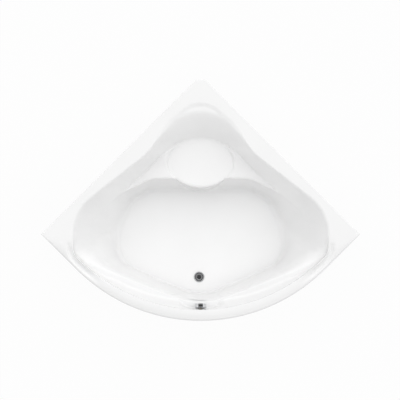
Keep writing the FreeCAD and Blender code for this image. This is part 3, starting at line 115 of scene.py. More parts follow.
class BathSizes(bpy.types.PropertyGroup):
    """Levels and roundings of the moulded bath."""
    rim_level: length("Rim level", "Height of the rim above the floor", SHELL_HIGH[2])
    bowl_depth: length("Bowl depth", "Rim to the bottom of the bowl", 0.435)
    seat_depth: length("Seat depth", "Rim to the corner seat", 0.200)
    arm_depth: length("Armrest depth", "Rim to the armrests", 0.165)
    ledge_depth: length("Ledge depth", "Rim to the lowest part of the front ledge", 0.110)
    ledge_span: length("Ledge span", "Half width over which the ledge would rise to the rim", 1.240)
    wall: length("Wall", "Thickness of the moulded sheet", 0.005)
    edge_round: length("Edge rounding", "Rounding of the rim's outer edge", 0.006)
    roll: length("Front roll", "Rounding of the rim into the steep front wall", 0.018)
    side_roll: length("Side roll", "Softness of the rim over the sloping walls", 0.016)
    foot_round: length("Foot rounding", "Softness where the walls meet the bottom", 0.055)
    arm_dip: length("Armrest dip", "How much lower the armrests lie at their front", 0.024)
    front_fall: length("Front fall", "How far the front rim curves down to its edge", 0.015)
    front_round: length("Front edge rounding", "Rounding of the rim's outer edge along the front", 0.014)
    scoop_depth: length("Headrest depth", "Depth of the headrest scoop", 0.012)
    grip_depth: length("Grip depth", "Depth of the two hand grooves in the front corners of the rim", 0.022)
    rays: IntProperty(name="Ray spacing", description="Distance of the mesh rays along the rim, in millimetres",
                      default=15, min=6, max=40)
    rings: IntProperty(name="Rings", description="Points on each ray, from the waste to the rim", default=110,
                       min=30, max=160)


class BathColours(bpy.types.PropertyGroup):
    """Colours of the bath's materials."""
    acrylic: colour("Acrylic", "Moulded sheet of shell and panel", (0.88, 0.88, 0.88))
    chrome: colour("Chrome", "Visible fittings", (0.66, 0.67, 0.68))
    zinc: colour("Zinc", "Steel cradle and brackets", (0.60, 0.61, 0.63))
    board: colour("Board", "Pressed board and battens", (0.58, 0.42, 0.25))
    rubber: colour("Rubber", "Seals", (0.035, 0.035, 0.036))
    pipe: colour("Pipe", "Plastic pipes and trap", (0.80, 0.80, 0.79))
    black: colour("Black plastic", "Foot pads, caps and cable sleeve", (0.045, 0.045, 0.047))
    brass: colour("Brass", "Spindle and plug stem", (0.68, 0.50, 0.24))
    floor: colour("Floor", "Plain floor under the bath", (0.60, 0.60, 0.60))


def sizes():
    return bpy.context.scene.bath_sizes


def colours():
    return bpy.context.scene.bath_colours


# ---------------------------------------------------------------- materials
def new_material(name):
    """Empty node material with its output and a Principled shader, and a position to read."""
    material = bpy.data.materials.new(name)
    material.use_nodes = True
    tree = material.node_tree
    tree.nodes.clear()
    out = tree.nodes.new("ShaderNodeOutputMaterial")
    shader = tree.nodes.new("ShaderNodeBsdfPrincipled")
    tree.links.new(shader.outputs["BSDF"], out.inputs["Surface"])
    place = tree.nodes.new("ShaderNodeTexCoord").outputs["Object"]
    return material, tree, shader, place


def noise(tree, place, scale, detail=3.0, roughness=0.5, stretch=None):
    """Noise factor at a scale per metre, optionally stretched along the axes."""
    if stretch:
        mapping = tree.nodes.new("ShaderNodeMapping")
        mapping.inputs["Scale"].default_value = stretch
        tree.links.new(place, mapping.inputs["Vector"])
        place = mapping.outputs["Vector"]
    node = tree.nodes.new("ShaderNodeTexNoise")
    node.inputs["Scale"].default_value = scale
    node.inputs["Detail"].default_value = detail
    node.inputs["Roughness"].default_value = roughness
    tree.links.new(place, node.inputs["Vector"])
    return node.outputs["Fac"]


def cells(tree, place, scale, output="Distance"):
    node = tree.nodes.new("ShaderNodeTexVoronoi")
    node.inputs["Scale"].default_value = scale
    tree.links.new(place, node.inputs["Vector"])
    return node.outputs[output]


def ramp(tree, factor, stops):
    """Colour ramp over a factor: stops are (place, (r, g, b))."""
    node = tree.nodes.new("ShaderNodeValToRGB")
    elements = node.color_ramp.elements
    while len(elements) < len(stops):
        elements.new(0.5)
    for element, (spot, value) in zip(elements, stops):
        element.position = spot
        element.color = (*value, 1.0)
    tree.links.new(factor, node.inputs["Fac"])
    return node.outputs["Color"]


def spread(tree, factor, low, high):
    """The factor brought into the range low to high."""
    node = tree.nodes.new("ShaderNodeMapRange")
    node.inputs["To Min"].default_value = low
    node.inputs["To Max"].default_value = high
    tree.links.new(factor, node.inputs["Value"])
    return node.outputs["Result"]


def bump(tree, shader, height, strength, distance):
    node = tree.nodes.new("ShaderNodeBump")
    node.inputs["Strength"].default_value = strength
    node.inputs["Distance"].default_value = distance
    tree.links.new(height, node.inputs["Height"])
    tree.links.new(node.outputs["Normal"], shader.inputs["Normal"])


def shade(value, factor):
    return tuple(min(1.0, part * factor) for part in value)


def acrylic():
    """Cast acrylic: clear white with hardly any mottle, glossy, with a trace of mould texture."""
    material, tree, shader, place = new_material("white_acrylic")
    tone = colours().acrylic
    mottle = noise(tree, place, 3.0, 2.0)
    tree.links.new(ramp(tree, mottle, [(0.3, shade(tone, 0.99)), (0.7, shade(tone, 1.01))]),
                   shader.inputs["Base Color"])
    tree.links.new(spread(tree, noise(tree, place, 9.0, 3.0), 0.13, 0.20), shader.inputs["Roughness"])
    shader.inputs["IOR"].default_value = 1.49
    shader.inputs["Coat Weight"].default_value = 0.5
    shader.inputs["Coat Roughness"].default_value = 0.06
    bump(tree, shader, noise(tree, place, 55.0, 2.0), 0.02, 0.0006)
    return material


def chrome():
    """Polished chrome plate with faint wipe marks."""
    material, tree, shader, place = new_material("polished_chrome")
    tone = colours().chrome
    wipes = noise(tree, place, 60.0, 4.0, 0.6, (1.0, 1.0, 3.0))
    tree.links.new(ramp(tree, wipes, [(0.35, shade(tone, 0.94)), (0.65, tone)]), shader.inputs["Base Color"])
    tree.links.new(spread(tree, wipes, 0.04, 0.11), shader.inputs["Roughness"])
    shader.inputs["Metallic"].default_value = 1.0
    bump(tree, shader, noise(tree, place, 900.0, 2.0), 0.02, 0.0001)
    return material


def zinc():
    """Zinc-plated steel: crystal patches, drawing lines and dull spots."""
    material, tree, shader, place = new_material("zinc_plated_steel")
    tone = colours().zinc
    patches = cells(tree, place, 90.0, "Color")
    tree.links.new(ramp(tree, patches, [(0.1, shade(tone, 0.86)), (0.6, tone), (0.95, shade(tone, 1.08))]),
                   shader.inputs["Base Color"])
    tree.links.new(spread(tree, noise(tree, place, 40.0, 5.0, 0.6), 0.28, 0.50), shader.inputs["Roughness"])
    shader.inputs["Metallic"].default_value = 0.9
    bump(tree, shader, noise(tree, place, 300.0, 3.0, 0.6, (0.15, 1.0, 1.0)), 0.12, 0.0003)
    return material


def board():
    """Pressed board: pale and dark chips with a rough face."""
    material, tree, shader, place = new_material("pressed_board")
    tone = colours().board
    chips = cells(tree, place, 260.0, "Color")
    tree.links.new(ramp(tree, chips, [(0.05, shade(tone, 0.55)), (0.35, shade(tone, 0.9)), (0.65, tone),
                                      (0.95, shade(tone, 1.35))]), shader.inputs["Base Color"])
    shader.inputs["Roughness"].default_value = 0.85
    bump(tree, shader, chips, 0.3, 0.0006)
    return material


def rubber():
    material, tree, shader, place = new_material("black_rubber")
    tone = colours().rubber
    bloom = noise(tree, place, 70.0, 4.0)
    tree.links.new(ramp(tree, bloom, [(0.3, tone), (0.8, shade(tone, 1.7))]), shader.inputs["Base Color"])
    tree.links.new(spread(tree, bloom, 0.55, 0.75), shader.inputs["Roughness"])
    bump(tree, shader, noise(tree, place, 1200.0, 2.0), 0.1, 0.0002)
    return material


def plastic(name, tone, rough, grain):
    """Moulded plastic with a fine spark-eroded grain."""
    material, tree, shader, place = new_material(name)
    drift = noise(tree, place, 25.0, 3.0)
    tree.links.new(ramp(tree, drift, [(0.3, shade(tone, 0.94)), (0.7, shade(tone, 1.04))]),
                   shader.inputs["Base Color"])
    tree.links.new(spread(tree, drift, rough, rough + 0.12), shader.inputs["Roughness"])
    bump(tree, shader, noise(tree, place, grain, 2.0), 0.08, 0.0002)
    return material


def brass():
    material, tree, shader, place = new_material("turned_brass")
    tone = colours().brass
    rings = noise(tree, place, 500.0, 2.0, 0.5, (0.1, 0.1, 4.0))
    tree.links.new(ramp(tree, rings, [(0.3, shade(tone, 0.85)), (0.7, shade(tone, 1.1))]),
                   shader.inputs["Base Color"])
    tree.links.new(spread(tree, rings, 0.22, 0.38), shader.inputs["Roughness"])
    shader.inputs["Metallic"].default_value = 1.0
    return material


def finishes():
    """Materials by the record's slot names, made once."""
    makers = {
        "acrylic": ("white_acrylic", acrylic),
        "chrome": ("polished_chrome", chrome),
        "zinc_steel": ("zinc_plated_steel", zinc),
        "chipboard": ("pressed_board", board),
        "rubber": ("black_rubber", rubber),
        "white_plastic": ("white_plastic", lambda: plastic("white_plastic", colours().pipe, 0.34, 700.0)),
        "black_plastic": ("black_plastic", lambda: plastic("black_plastic", colours().black, 0.42, 900.0)),
        "brass": ("turned_brass", brass),
    }
    return {slot: bpy.data.materials.get(name) or maker() for slot, (name, maker) in makers.items()}


# ---------------------------------------------------------------- meshes
def piece(name, points, faces, slot, body, smooth=True):
    """Object from points and faces, in place, with its finish, riding on a body."""
    mesh = bpy.data.meshes.new(name)
    mesh.from_pydata([tuple(point) for point in points], [], faces)
    mesh.validate()
    mesh.materials.append(finishes()[slot])
    if smooth:
        mesh.polygons.foreach_set("use_smooth", [True] * len(mesh.polygons))
    mesh.update()
    item = bpy.data.objects.new(name, mesh)
    bpy.context.collection.objects.link(item)
    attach(item, body)
    return item


def apply_modifiers(item):
    """Replaces the object's mesh by what its modifiers make of it."""
    graph = bpy.context.evaluated_depsgraph_get()
    mesh = bpy.data.meshes.new_from_object(item.evaluated_get(graph))
    item.modifiers.clear()
    item.data = mesh


def lathe(profile, place, turn, around=64):
    """Points and faces of a turned part: profile of (radius, height), closed over its own axis."""
    points = []
    faces = []
    starts = []
    for radius, height in profile:
        starts.append(len(points))
        if radius < 1e-9:
            points.append(Vector((0, 0, height)))
            continue
        for step in range(around):
            angle = 2 * math.pi * step / around
            points.append(Vector((radius * math.cos(angle), radius * math.sin(angle), height)))
    count = len(profile)
    for index in range(count):
        follow = (index + 1) % count
        here, there = starts[index], starts[follow]
        pole_here = profile[index][0] < 1e-9
        pole_there = profile[follow][0] < 1e-9
        if pole_here and pole_there:
            continue
        for step in range(around):
            beside = (step + 1) % around
            if pole_here:
                faces.append((here, there + beside, there + step))
            elif pole_there:
                faces.append((here + step, here + beside, there))
            else:
                faces.append((here + step, here + beside, there + beside, there + step))
    matrix = Matrix.Translation(place) @ turn
    return [matrix @ point for point in points], faces


def outwards(item):
    """Turns every face of a closed piece outwards."""
    mesh = bmesh.new()
    mesh.from_mesh(item.data)
    bmesh.ops.recalc_face_normals(mesh, faces=mesh.faces)
    mesh.to_mesh(item.data)
    mesh.free()
    return item


INTO_TUB = Matrix.Rotation(math.pi / 2, 4, "X")
OUT_OF_TUB = Matrix.Rotation(-math.pi / 2, 4, "X")


# ---------------------------------------------------------------- the bowl's form
MM = 0.001
ARC_STEP = math.radians(4)
SEARCH_STEPS = 30
# corners of the bowl's outlines in millimetres, clockwise: (x, y, radius), right-hand side first
MOUTH_CORNERS = [(146, 607.3, 275), (350, 315.8, 400), (854.2, -78.3, 310), (854.2, -372.3, 110)]
MOUTH_NOSE = (0, -717.3, 350)
ARM_CORNERS = [(147, 411.8, 338), (370, 182.8, 400), (735.2, -126.3, 290), (735.2, -378.3, 110)]
BASIN_CORNERS = [(330, 153.8, 200), (515, 60.0, 150), (735.2, -126.3, 290), (735.2, -378.3, 110)]
ARM_NOSE = (0, -687.3, 350)
BOTTOM_CORNERS = [(330, 71.8, 150), (455, 7.8, 120), (556.2, -190.3, 180), (560, -398, 180),
                  (300, -522, 400)]
BOTTOM_NOSE = (0, -644, 350)
WALL_CORNERS = MOUTH_CORNERS[:3] + [(854.2, -372.3, 170), (300, -612, 500)]
WALL_NOSE = (0, -713, 350)
MOUTH_RADIUS = 1149.0
FRONT_RIM = 65.5
FRONT_RADIUS = 1170.0
CORNER_CUT = 30.0
SEAT_HALF = (216.0, 161.0)
SEAT_Y = 245.8
SEAT_FLARE = (24.0, 3.0)
SEAT_ROUND = 14.0
SEAT_TOE = 26.0
SEAT_LIFT = 12.0
# how softly neighbouring forms run into each other, in millimetres of height
ARM_SOFT = 13.0
BULGE_SOFT = 10.0
DISH_SOFT = 8.0
WALL_SOFT = 6.0
LEDGE_SOFT = (80.0, 30.0)
STEEP_SOFT = 22.0
ROLL_SOFT = 18.0
SCOOP_SOFT = 4.0
ARM_RISE = 160.0
# slope of the steep front wall: behind the knob, along the front, at the hips, and far below the ledge
STEEP = (4.0, 1.4, 2.8)
STEEP_BELOW = 6.0
STEEP_REACH = 78.0
LEDGE_BACK = -400.0
LEDGE_RISE = 500.0
FALL_START = 60.0
SCOOP_RADIUS = 190.0
SCOOP_RUN = 34.0
SCOOP_TOP = 654.8
BATTEN_WIDTH = 0.020
GRIP_HEIGHT = 0.004
GRIP_WIDTH = 0.012
KNOB_WALL = 0.004
KNOB_HUB = 0.008
SPINDLE_HOLE = 0.00405
PLATE_HOLE = 0.0253
BOSS_RADIUS = 0.046
BOSS_DEPTH = 0.013
BOSS_ROUND = 0.005
# mesh of the shell: hole at the waste and lip in millimetres, then how its rings are spread
WASTE_HOLE = 26.0
LIP_LOW = 562.0
BOWL_SHARE = 0.80
BOWL_STEPS = 260
RIM_STEPS = 70
RUN_WEIGHT = 0.35
SLOPE_WEIGHT = 0.65
BEND_WEIGHT = 26.0
EDGE_DEGREES = (15, 30, 45, 60, 75, 90)
LIP_SHARES = (0.35, 0.7, 1.0)


def rounded(right, nose):
    """Closed run of points round an outline with rounded corners."""
    corners = right + [nose] + [(-x, y, radius) for x, y, radius in reversed(right)]
    points = []
    count = len(corners)
    for index, (x, y, radius) in enumerate(corners):
        corner = np.array((x, y), float)
        arrive = corner - corners[index - 1][:2]
        leave = np.array(corners[(index + 1) % count][:2]) - corner
        arrive /= np.linalg.norm(arrive)
        leave /= np.linalg.norm(leave)
        bend = math.atan2(arrive[0] * leave[1] - arrive[1] * leave[0], arrive @ leave)
        side = 1 if bend < 0 else -1
        centre = (corner - arrive * radius * math.tan(abs(bend) / 2)
                  + np.array((arrive[1], -arrive[0])) * side * radius)
        out = math.atan2(*(-np.array((arrive[1], -arrive[0])) * side)[::-1])
        steps = max(2, int(abs(bend) / ARC_STEP))
        for step in range(steps + 1):
            angle = out + bend * step / steps
            points.append(centre + radius * np.array((math.cos(angle), math.sin(angle))))
    return np.array(points)


def mouth_points():
    """The bowl's edge at the rim, with one wide arc along the front."""
    side_x, _, corner = MOUTH_CORNERS[-1]
    centre_y = FRONT_Y / MM + FRONT_RIM + MOUTH_RADIUS
    across = side_x - corner
    hub = np.array((across, centre_y - math.sqrt((MOUTH_RADIUS - corner) ** 2 - across ** 2)))
    aim = math.atan2(hub[1] - centre_y, hub[0])
    corner_arc = [hub + corner * np.array((math.cos(a), math.sin(a))) for a in np.linspace(0, aim, 14)]
    front = [np.array((MOUTH_RADIUS * math.cos(a), centre_y + MOUTH_RADIUS * math.sin(a)))
             for a in np.linspace(aim, -math.pi - aim, 60)][1:-1]
    whole = rounded(MOUTH_CORNERS, MOUTH_NOSE)
    back = whole[whole[:, 1] > hub[1] + 20]
    right = back[back[:, 0] > 0]
    left = back[back[:, 0] < 0]
    flip = [np.array((-p[0], p[1])) for p in reversed(corner_arc)]
    # the back edge's points run clockwise: left half ends at the middle, right half starts there
    order = np.argsort(np.arctan2(left[:, 0], left[:, 1]))
    left = left[order]
    order = np.argsort(np.arctan2(right[:, 0], right[:, 1]))
    right = right[order]
    return np.array(list(left) + list(right) + corner_arc + front + flip)


def rim_points():
    """Outer edge of the rim: blunted corner, two wall sides, rounded front."""
    tip_y = BACK_Y / MM + CORNER_CUT - TIP_X / MM
    centre_y = FRONT_Y / MM + FRONT_RADIUS
    tip = np.array((TIP_X / MM, tip_y))
    corner = np.array((CORNER_CUT, BACK_Y / MM))
    arc = [np.array((FRONT_RADIUS * math.cos(a), centre_y + FRONT_RADIUS * math.sin(a)))
           for a in np.linspace(-math.pi / 4, -3 * math.pi / 4, 90)]
    return np.array([corner, tip] + arc + [tip * (-1, 1), corner * (-1, 1)])


def distance(points, loop, closed=True):
    """Distance of each point to a run of segments; inside a closed run it is positive, else negative."""
    starts = loop if closed else loop[:-1]
    ends = np.roll(loop, -1, axis=0) if closed else loop[1:]
    best = np.full(len(points), np.inf)
    inside = np.zeros(len(points), bool)
    x, y = points[:, 0], points[:, 1]
    for (ax, ay), (bx, by) in zip(starts, ends):
        ex, ey = bx - ax, by - ay
        span = ex * ex + ey * ey
        if span < 1e-12:
            continue
        t = np.clip(((x - ax) * ex + (y - ay) * ey) / span, 0, 1)
        best = np.minimum(best, (x - ax - t * ex) ** 2 + (y - ay - t * ey) ** 2)
        if ay != by:
            crosses = (ay > y) != (by > y)
            inside ^= crosses & (x < ax + (y - ay) * ex / ey)
    best = np.sqrt(best)
    return np.where(inside, best, -best) if closed else best


def lower(a, b, soft):
    """The lower of two heights, with a soft change over."""
    share = np.clip(0.5 + 0.5 * (b - a) / soft, 0, 1)
    return b * (1 - share) + a * share - soft * share * (1 - share)


def higher(a, b, soft):
    return -lower(-a, -b, soft)


def ease(value, start, end):
    """0 before the start, 1 past the end, smooth between."""
    t = np.clip((value - start) / (end - start), 0, 1)
    return t * t * (3 - 2 * t)


def front_drop(inset, most):
    """How far the front rim has fallen at a distance from its edge, in millimetres."""
    return most * np.clip(1 - inset / FALL_START, 0, 1) ** 2


class Form:
    """The moulded surface as a height, in millimetres, over the plan."""

    def __init__(self):
        own = sizes()
        self.rim = own.rim_level / MM
        self.bottom = self.rim - own.bowl_depth / MM
        self.seat = self.rim - own.seat_depth / MM
        self.arm = self.rim - own.arm_depth / MM
        self.ledge = self.rim - own.ledge_depth / MM
        self.span = own.ledge_span / MM
        self.roll = own.roll / MM
        self.side_roll = own.side_roll / MM
        self.foot = own.foot_round / MM
        self.fall = own.front_fall / MM
        self.arm_dip = own.arm_dip / MM
        self.scoop = own.scoop_depth / MM
        self.grip = own.grip_depth / MM
        self.mouth = mouth_points()
        self.mouth_nose = rounded(WALL_CORNERS, WALL_NOSE)
        self.arms = rounded(ARM_CORNERS, ARM_NOSE)
        self.basin = rounded(BASIN_CORNERS, ARM_NOSE)
        self.floor = rounded(BOTTOM_CORNERS, BOTTOM_NOSE)
        turn = np.linspace(0, 2 * math.pi, 96, endpoint=False)
        self.oval = np.stack((SEAT_HALF[0] * np.cos(turn), SEAT_Y + SEAT_HALF[1] * np.sin(turn)), axis=1)
        self.edge = rim_points()
        self.front_edge = self.edge[1:-1]
        self.wall_edges = [self.edge[:2], self.edge[-2:]]

    def walls(self, points):
        """Side and front walls in one slope from the bottom to the rim."""
        out_floor = -distance(points, self.floor)
        in_mouth = distance(points, self.mouth_nose)
        share = out_floor / np.maximum(out_floor + in_mouth, 1.0)
        return higher(self.bottom + (self.rim - self.bottom) * share, self.bottom, self.foot)

    def corner(self, points):
        """The back of the bowl: wall, armrests, seat, and the wall behind them."""
        x, y = points[:, 0], points[:, 1]
        out_floor = -distance(points, self.floor)
        in_basin = distance(points, self.basin)
        share = out_floor / np.maximum(out_floor + in_basin, 1.0)
        low = self.bottom + (self.arm - self.bottom) * np.where(in_basin < 0, 1.0, share)
        low = higher(low, self.bottom, self.foot)
        in_seat = distance(points, self.oval)
        roll = np.clip(SEAT_ROUND - in_seat, 0, SEAT_ROUND)
        top = self.seat - SEAT_ROUND + np.sqrt(SEAT_ROUND ** 2 - roll ** 2)
        toe = np.clip(1 + in_seat / SEAT_TOE, 0, 1)
        front = self.bottom + (self.seat - SEAT_ROUND - self.bottom) * toe ** 1.5
        bulge = np.where(in_seat > 0, top, front)
        # past the tips of the armrests the side walls run on in one slope
        rest = self.arm - self.arm_dip * (1 - ease(y, 190, 350)) * ease(y, 30, 110)
        rest = rest - (self.arm - self.seat) * ease(y, 290, 385)
        arm = rest + ARM_RISE * (1 - ease(y, -110, 60))
        plateau = higher(lower(low, arm, ARM_SOFT), bulge + SEAT_LIFT * ease(in_seat, 2, 24), BULGE_SOFT)
        backness = ease((y - SEAT_Y) / SEAT_HALF[1], 0.45, 0.95)
        flare = SEAT_FLARE[0] + (SEAT_FLARE[1] - SEAT_FLARE[0]) * backness
        dish = self.seat + (self.arm - self.seat) * np.clip(-in_seat / flare, 0, 4)
        level = lower(plateau, dish, DISH_SOFT)
        out_arms = -distance(points, self.arms)
        in_mouth = distance(points, self.mouth_nose)
        share = out_arms / np.maximum(out_arms + in_mouth, 1.0)
        share = np.where(share < 0, share * 6, share)
        headrest = ease(y, 380, 470)
        curved = 1 - np.sign(1 - share) * np.abs(1 - share) ** 1.22
        wall = rest + (self.rim - rest) * (share + headrest * (curved - share))
        return higher(level, wall, WALL_SOFT)

    def height(self, points):
        x, y = points[:, 0], points[:, 1]
        side = self.walls(points)
        backward = ease(y, -260, -120)
        bowl = side + backward * (self.corner(points) - side)
        # the front ledge, rising to both sides
        in_mouth = distance(points, self.mouth)
        fronted = 1 - ease(y, -300, -200)
        ledge = self.ledge + (self.rim - self.ledge) * (x / self.span) ** 2
        ledge = ledge + LEDGE_RISE * np.clip((y - LEDGE_BACK) / 300, 0, 2) ** 2
        dipped = lower(bowl, ledge, LEDGE_SOFT[0] + LEDGE_SOFT[1] * ease(np.abs(x), 280, 640))
        bowl = dipped + (bowl - dipped) * ease(-in_mouth, -14, 2)
        bowl = lower(bowl, self.rim, self.side_roll)
        # rim, its roll and the steep wall above the ledge
        knob, front, hip = STEEP
        slope = knob + (front - knob) * ease(np.abs(x), 60, 160) + (hip - front) * ease(np.abs(x), 560, 740)
        below = STEEP_BELOW * np.clip(in_mouth - STEEP_REACH, 0, None) * ease(np.abs(x), 60, 160)
        steep = lower(self.rim, self.rim - self.roll - (slope * in_mouth + below), ROLL_SOFT)
        soft = STEEP_SOFT * np.clip((self.rim - bowl) / 50, 0.02, 1)
        joined = higher(bowl, steep, soft)
        level = bowl + fronted * (joined - bowl)
        # headrest scoop
        away = np.hypot(x, y - (SCOOP_TOP - SCOOP_RADIUS))
        scoop = self.rim - self.scoop * (1 - ease(away, SCOOP_RADIUS - SCOOP_RUN, SCOOP_RADIUS))
        scoop = np.where(y > 480, scoop, self.rim)
        level = lower(level, scoop + 0.6, SCOOP_SOFT)
        # the front rim curves down to its edge, but not at the tips
        to_front = distance(points, self.front_edge, closed=False)
        to_walls = np.minimum(*[distance(points, run, closed=False) for run in self.wall_edges])
        fall = front_drop(to_front, self.fall) * ease(to_walls, 10, 200)
        level = level - fall * ease(level, self.rim - 40, self.rim - 8)
        # a crescent-shaped hand groove at each front corner of the rim
        groove = ease(-in_mouth, -9, 15) * (1 - ease(-in_mouth, 18, 44))
        return level - self.grip * groove * ease(np.abs(x), 650, 780) * (1 - ease(y, -340, -270))


def ray_angles(form, origin):
    """Directions of the mesh's rays: to points along the rim, its corners, and past the seat's sides."""
    loop = form.edge
    spots = []
    step = sizes().rays
    for start, end in zip(loop, np.roll(loop, -1, axis=0)):
        count = max(1, int(round(np.linalg.norm(end - start) / step)))
        spots += [start + (end - start) * i / count for i in range(count)]
    angles = [math.atan2(p[1] - origin[1], p[0] - origin[0]) for p in spots]
    for side in (-1, 1):
        for across in np.arange(168, 262, 3.4):
            angles.append(math.atan2(SEAT_Y - origin[1], side * across - origin[0]))
    angles = sorted(a % (2 * math.pi) for a in angles)
    kept = [angles[0]]
    for angle in angles[1:]:
        if angle - kept[-1] > math.radians(0.12):
            kept.append(angle)
    return np.array(kept)


def reach(loop, origin, direction, inset):
    """How far each ray runs before it is an inset away from an outline."""
    low = np.full(len(direction), 100.0)
    high = np.full(len(direction), 2500.0)
    for _ in range(SEARCH_STEPS):
        half = (low + high) / 2
        inside = distance(origin + direction * half[:, None], loop) > inset
        low = np.where(inside, half, low)
        high = np.where(inside, high, half)
    return low


def shell_mesh():
    """Points and faces of the moulded surface: rays out from the waste, closely spaced on bends."""
    own = sizes()
    form = Form()
    origin = np.array((WASTE_X, WASTE_Y)) / MM
    angles = ray_angles(form, origin)
    direction = np.stack((np.cos(angles), np.sin(angles)), axis=1)
    brink = origin + direction * reach(form.edge, origin, direction, 0.0)[:, None]
    front_share = np.minimum(*[ease(distance(brink, run, closed=False), 5, 90) for run in form.wall_edges])
    round_edge = (own.edge_round + (own.front_round - own.edge_round) * front_share) / MM
    end = reach(form.edge, origin, direction, round_edge)
    # the bowl's edge at the rim falls on one ring, whatever the ray
    mouth = reach(form.mouth, origin, direction, 0.0)
    shares = np.linspace(0, 1, BOWL_STEPS)
    rim_shares = shares[1:RIM_STEPS + 1] / shares[RIM_STEPS]
    run = np.concatenate((WASTE_HOLE + (mouth[:, None] - WASTE_HOLE) * shares,
                          mouth[:, None] + (end - mouth)[:, None] * rim_shares), axis=1)
    spots = origin + direction[:, None, :] * run[:, :, None]
    heights = form.height(spots.reshape(-1, 2)).reshape(run.shape)
    rise = np.diff(heights, axis=1)
    along = np.diff(run, axis=1)
    tilt = np.arctan2(rise, along)
    turn = np.abs(np.diff(tilt, axis=1, prepend=tilt[:, :1]))
    turn = (turn + np.roll(turn, -1, axis=1) + np.roll(turn, 1, axis=1)) / 3
    weight = RUN_WEIGHT * along + SLOPE_WEIGHT * np.hypot(rise, along) + BEND_WEIGHT * turn
    # neighbouring rays share their spacing, so that the rings run smoothly
    for _ in range(3):
        weight = (np.roll(weight, 1, axis=0) + 2 * weight + np.roll(weight, -1, axis=0)) / 4
    total = np.concatenate((np.zeros((len(angles), 1)), np.cumsum(weight, axis=1)), axis=1)
    rings = own.rings
    inner = int(rings * BOWL_SHARE)
    places = np.empty((len(angles), rings))
    for index in range(len(angles)):
        at_mouth = total[index, BOWL_STEPS - 1]
        wanted = np.concatenate((np.linspace(0, at_mouth, inner),
                                 np.linspace(at_mouth, total[index, -1], rings - inner + 1)[1:]))
        places[index] = np.interp(wanted, total[index], run[index])
    spots = origin + direction[:, None, :] * places[:, :, None]
    heights = form.height(spots.reshape(-1, 2)).reshape(places.shape)
    columns = [(spots[:, i], heights[:, i]) for i in range(rings)]
    # rounded outer edge, then the lip
    for degrees in EDGE_DEGREES:
        angle = math.radians(degrees)
        out = reach(form.edge, origin, direction, round_edge * (1 - math.sin(angle)))
        place = origin + direction * out[:, None]
        columns.append((place, form.height(place) - round_edge * (1 - math.cos(angle))))
    out_spots, out_height = columns[-1]
    for share in LIP_SHARES:
        columns.append((out_spots, out_height + (LIP_LOW - out_height) * share))
    around = len(angles)
    points = []
    for spot, level in columns:
        points += [(p[0] * MM, p[1] * MM, z * MM) for p, z in zip(spot, level)]
    faces = []
    for ring in range(len(columns) - 1):
        for index in range(around):
            beside = (index + 1) % around
            faces.append((ring * around + index, (ring + 1) * around + index,
                          (ring + 1) * around + beside, ring * around + beside))
    return points, faces


# ---------------------------------------------------------------- operators
class BATH_OT_shell(bpy.types.Operator):
    """Moulded shell: rim, bowl, seat, armrests, ledge, headrest and lip"""
    bl_idname = "bath.shell"
    bl_label = "Moulded shell"

    def execute(self, context):
        points, faces = shell_mesh()
        item = piece("moulded_shell", points, faces, "acrylic", "bath")
        solid = item.modifiers.new("wall", "SOLIDIFY")
        solid.thickness = sizes().wall
        solid.offset = -1.0
        solid.use_even_offset = False
        apply_modifiers(item)
        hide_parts("bath_shell")
        # raised flat round the overflow hole, up to the face plate
        profile = [(0.0, -BOSS_DEPTH), (BOSS_RADIUS, -BOSS_DEPTH), (BOSS_RADIUS, -BOSS_ROUND)]
        profile += [(BOSS_RADIUS - BOSS_ROUND * (1 - math.cos(a)), BOSS_ROUND * (math.sin(a) - 1))
                    for a in np.linspace(0.3, math.pi / 2, 5)]
        profile.append((0.0, 0.0))
        boss_points, boss_faces = lathe(profile, Vector((KNOB_X, PLATE_LOW[1], KNOB_Z)), OUT_OF_TUB)
        outwards(piece("overflow_boss", boss_points, boss_faces, "acrylic", "bath"))
        return {"FINISHED"}


def rounded_profile(corners, steps=4):
    """Profile of (radius, height) with rounded corners: corners are (radius, height, rounding)."""
    profile = []
    count = len(corners)
    for index, (radius, height, soft) in enumerate(corners):
        here = np.array((radius, height))
        if soft <= 0:
            profile.append((radius, height))
            continue
        before = np.array(corners[index - 1][:2]) - here
        after = np.array(corners[(index + 1) % count][:2]) - here
        start = here + before / np.linalg.norm(before) * min(soft, np.linalg.norm(before) / 2)
        end = here + after / np.linalg.norm(after) * min(soft, np.linalg.norm(after) / 2)
        for step in range(steps + 1):
            t = step / steps
            spot = start * (1 - t) ** 2 + here * 2 * t * (1 - t) + end * t ** 2
            profile.append((float(spot[0]), float(spot[1])))
    return profile


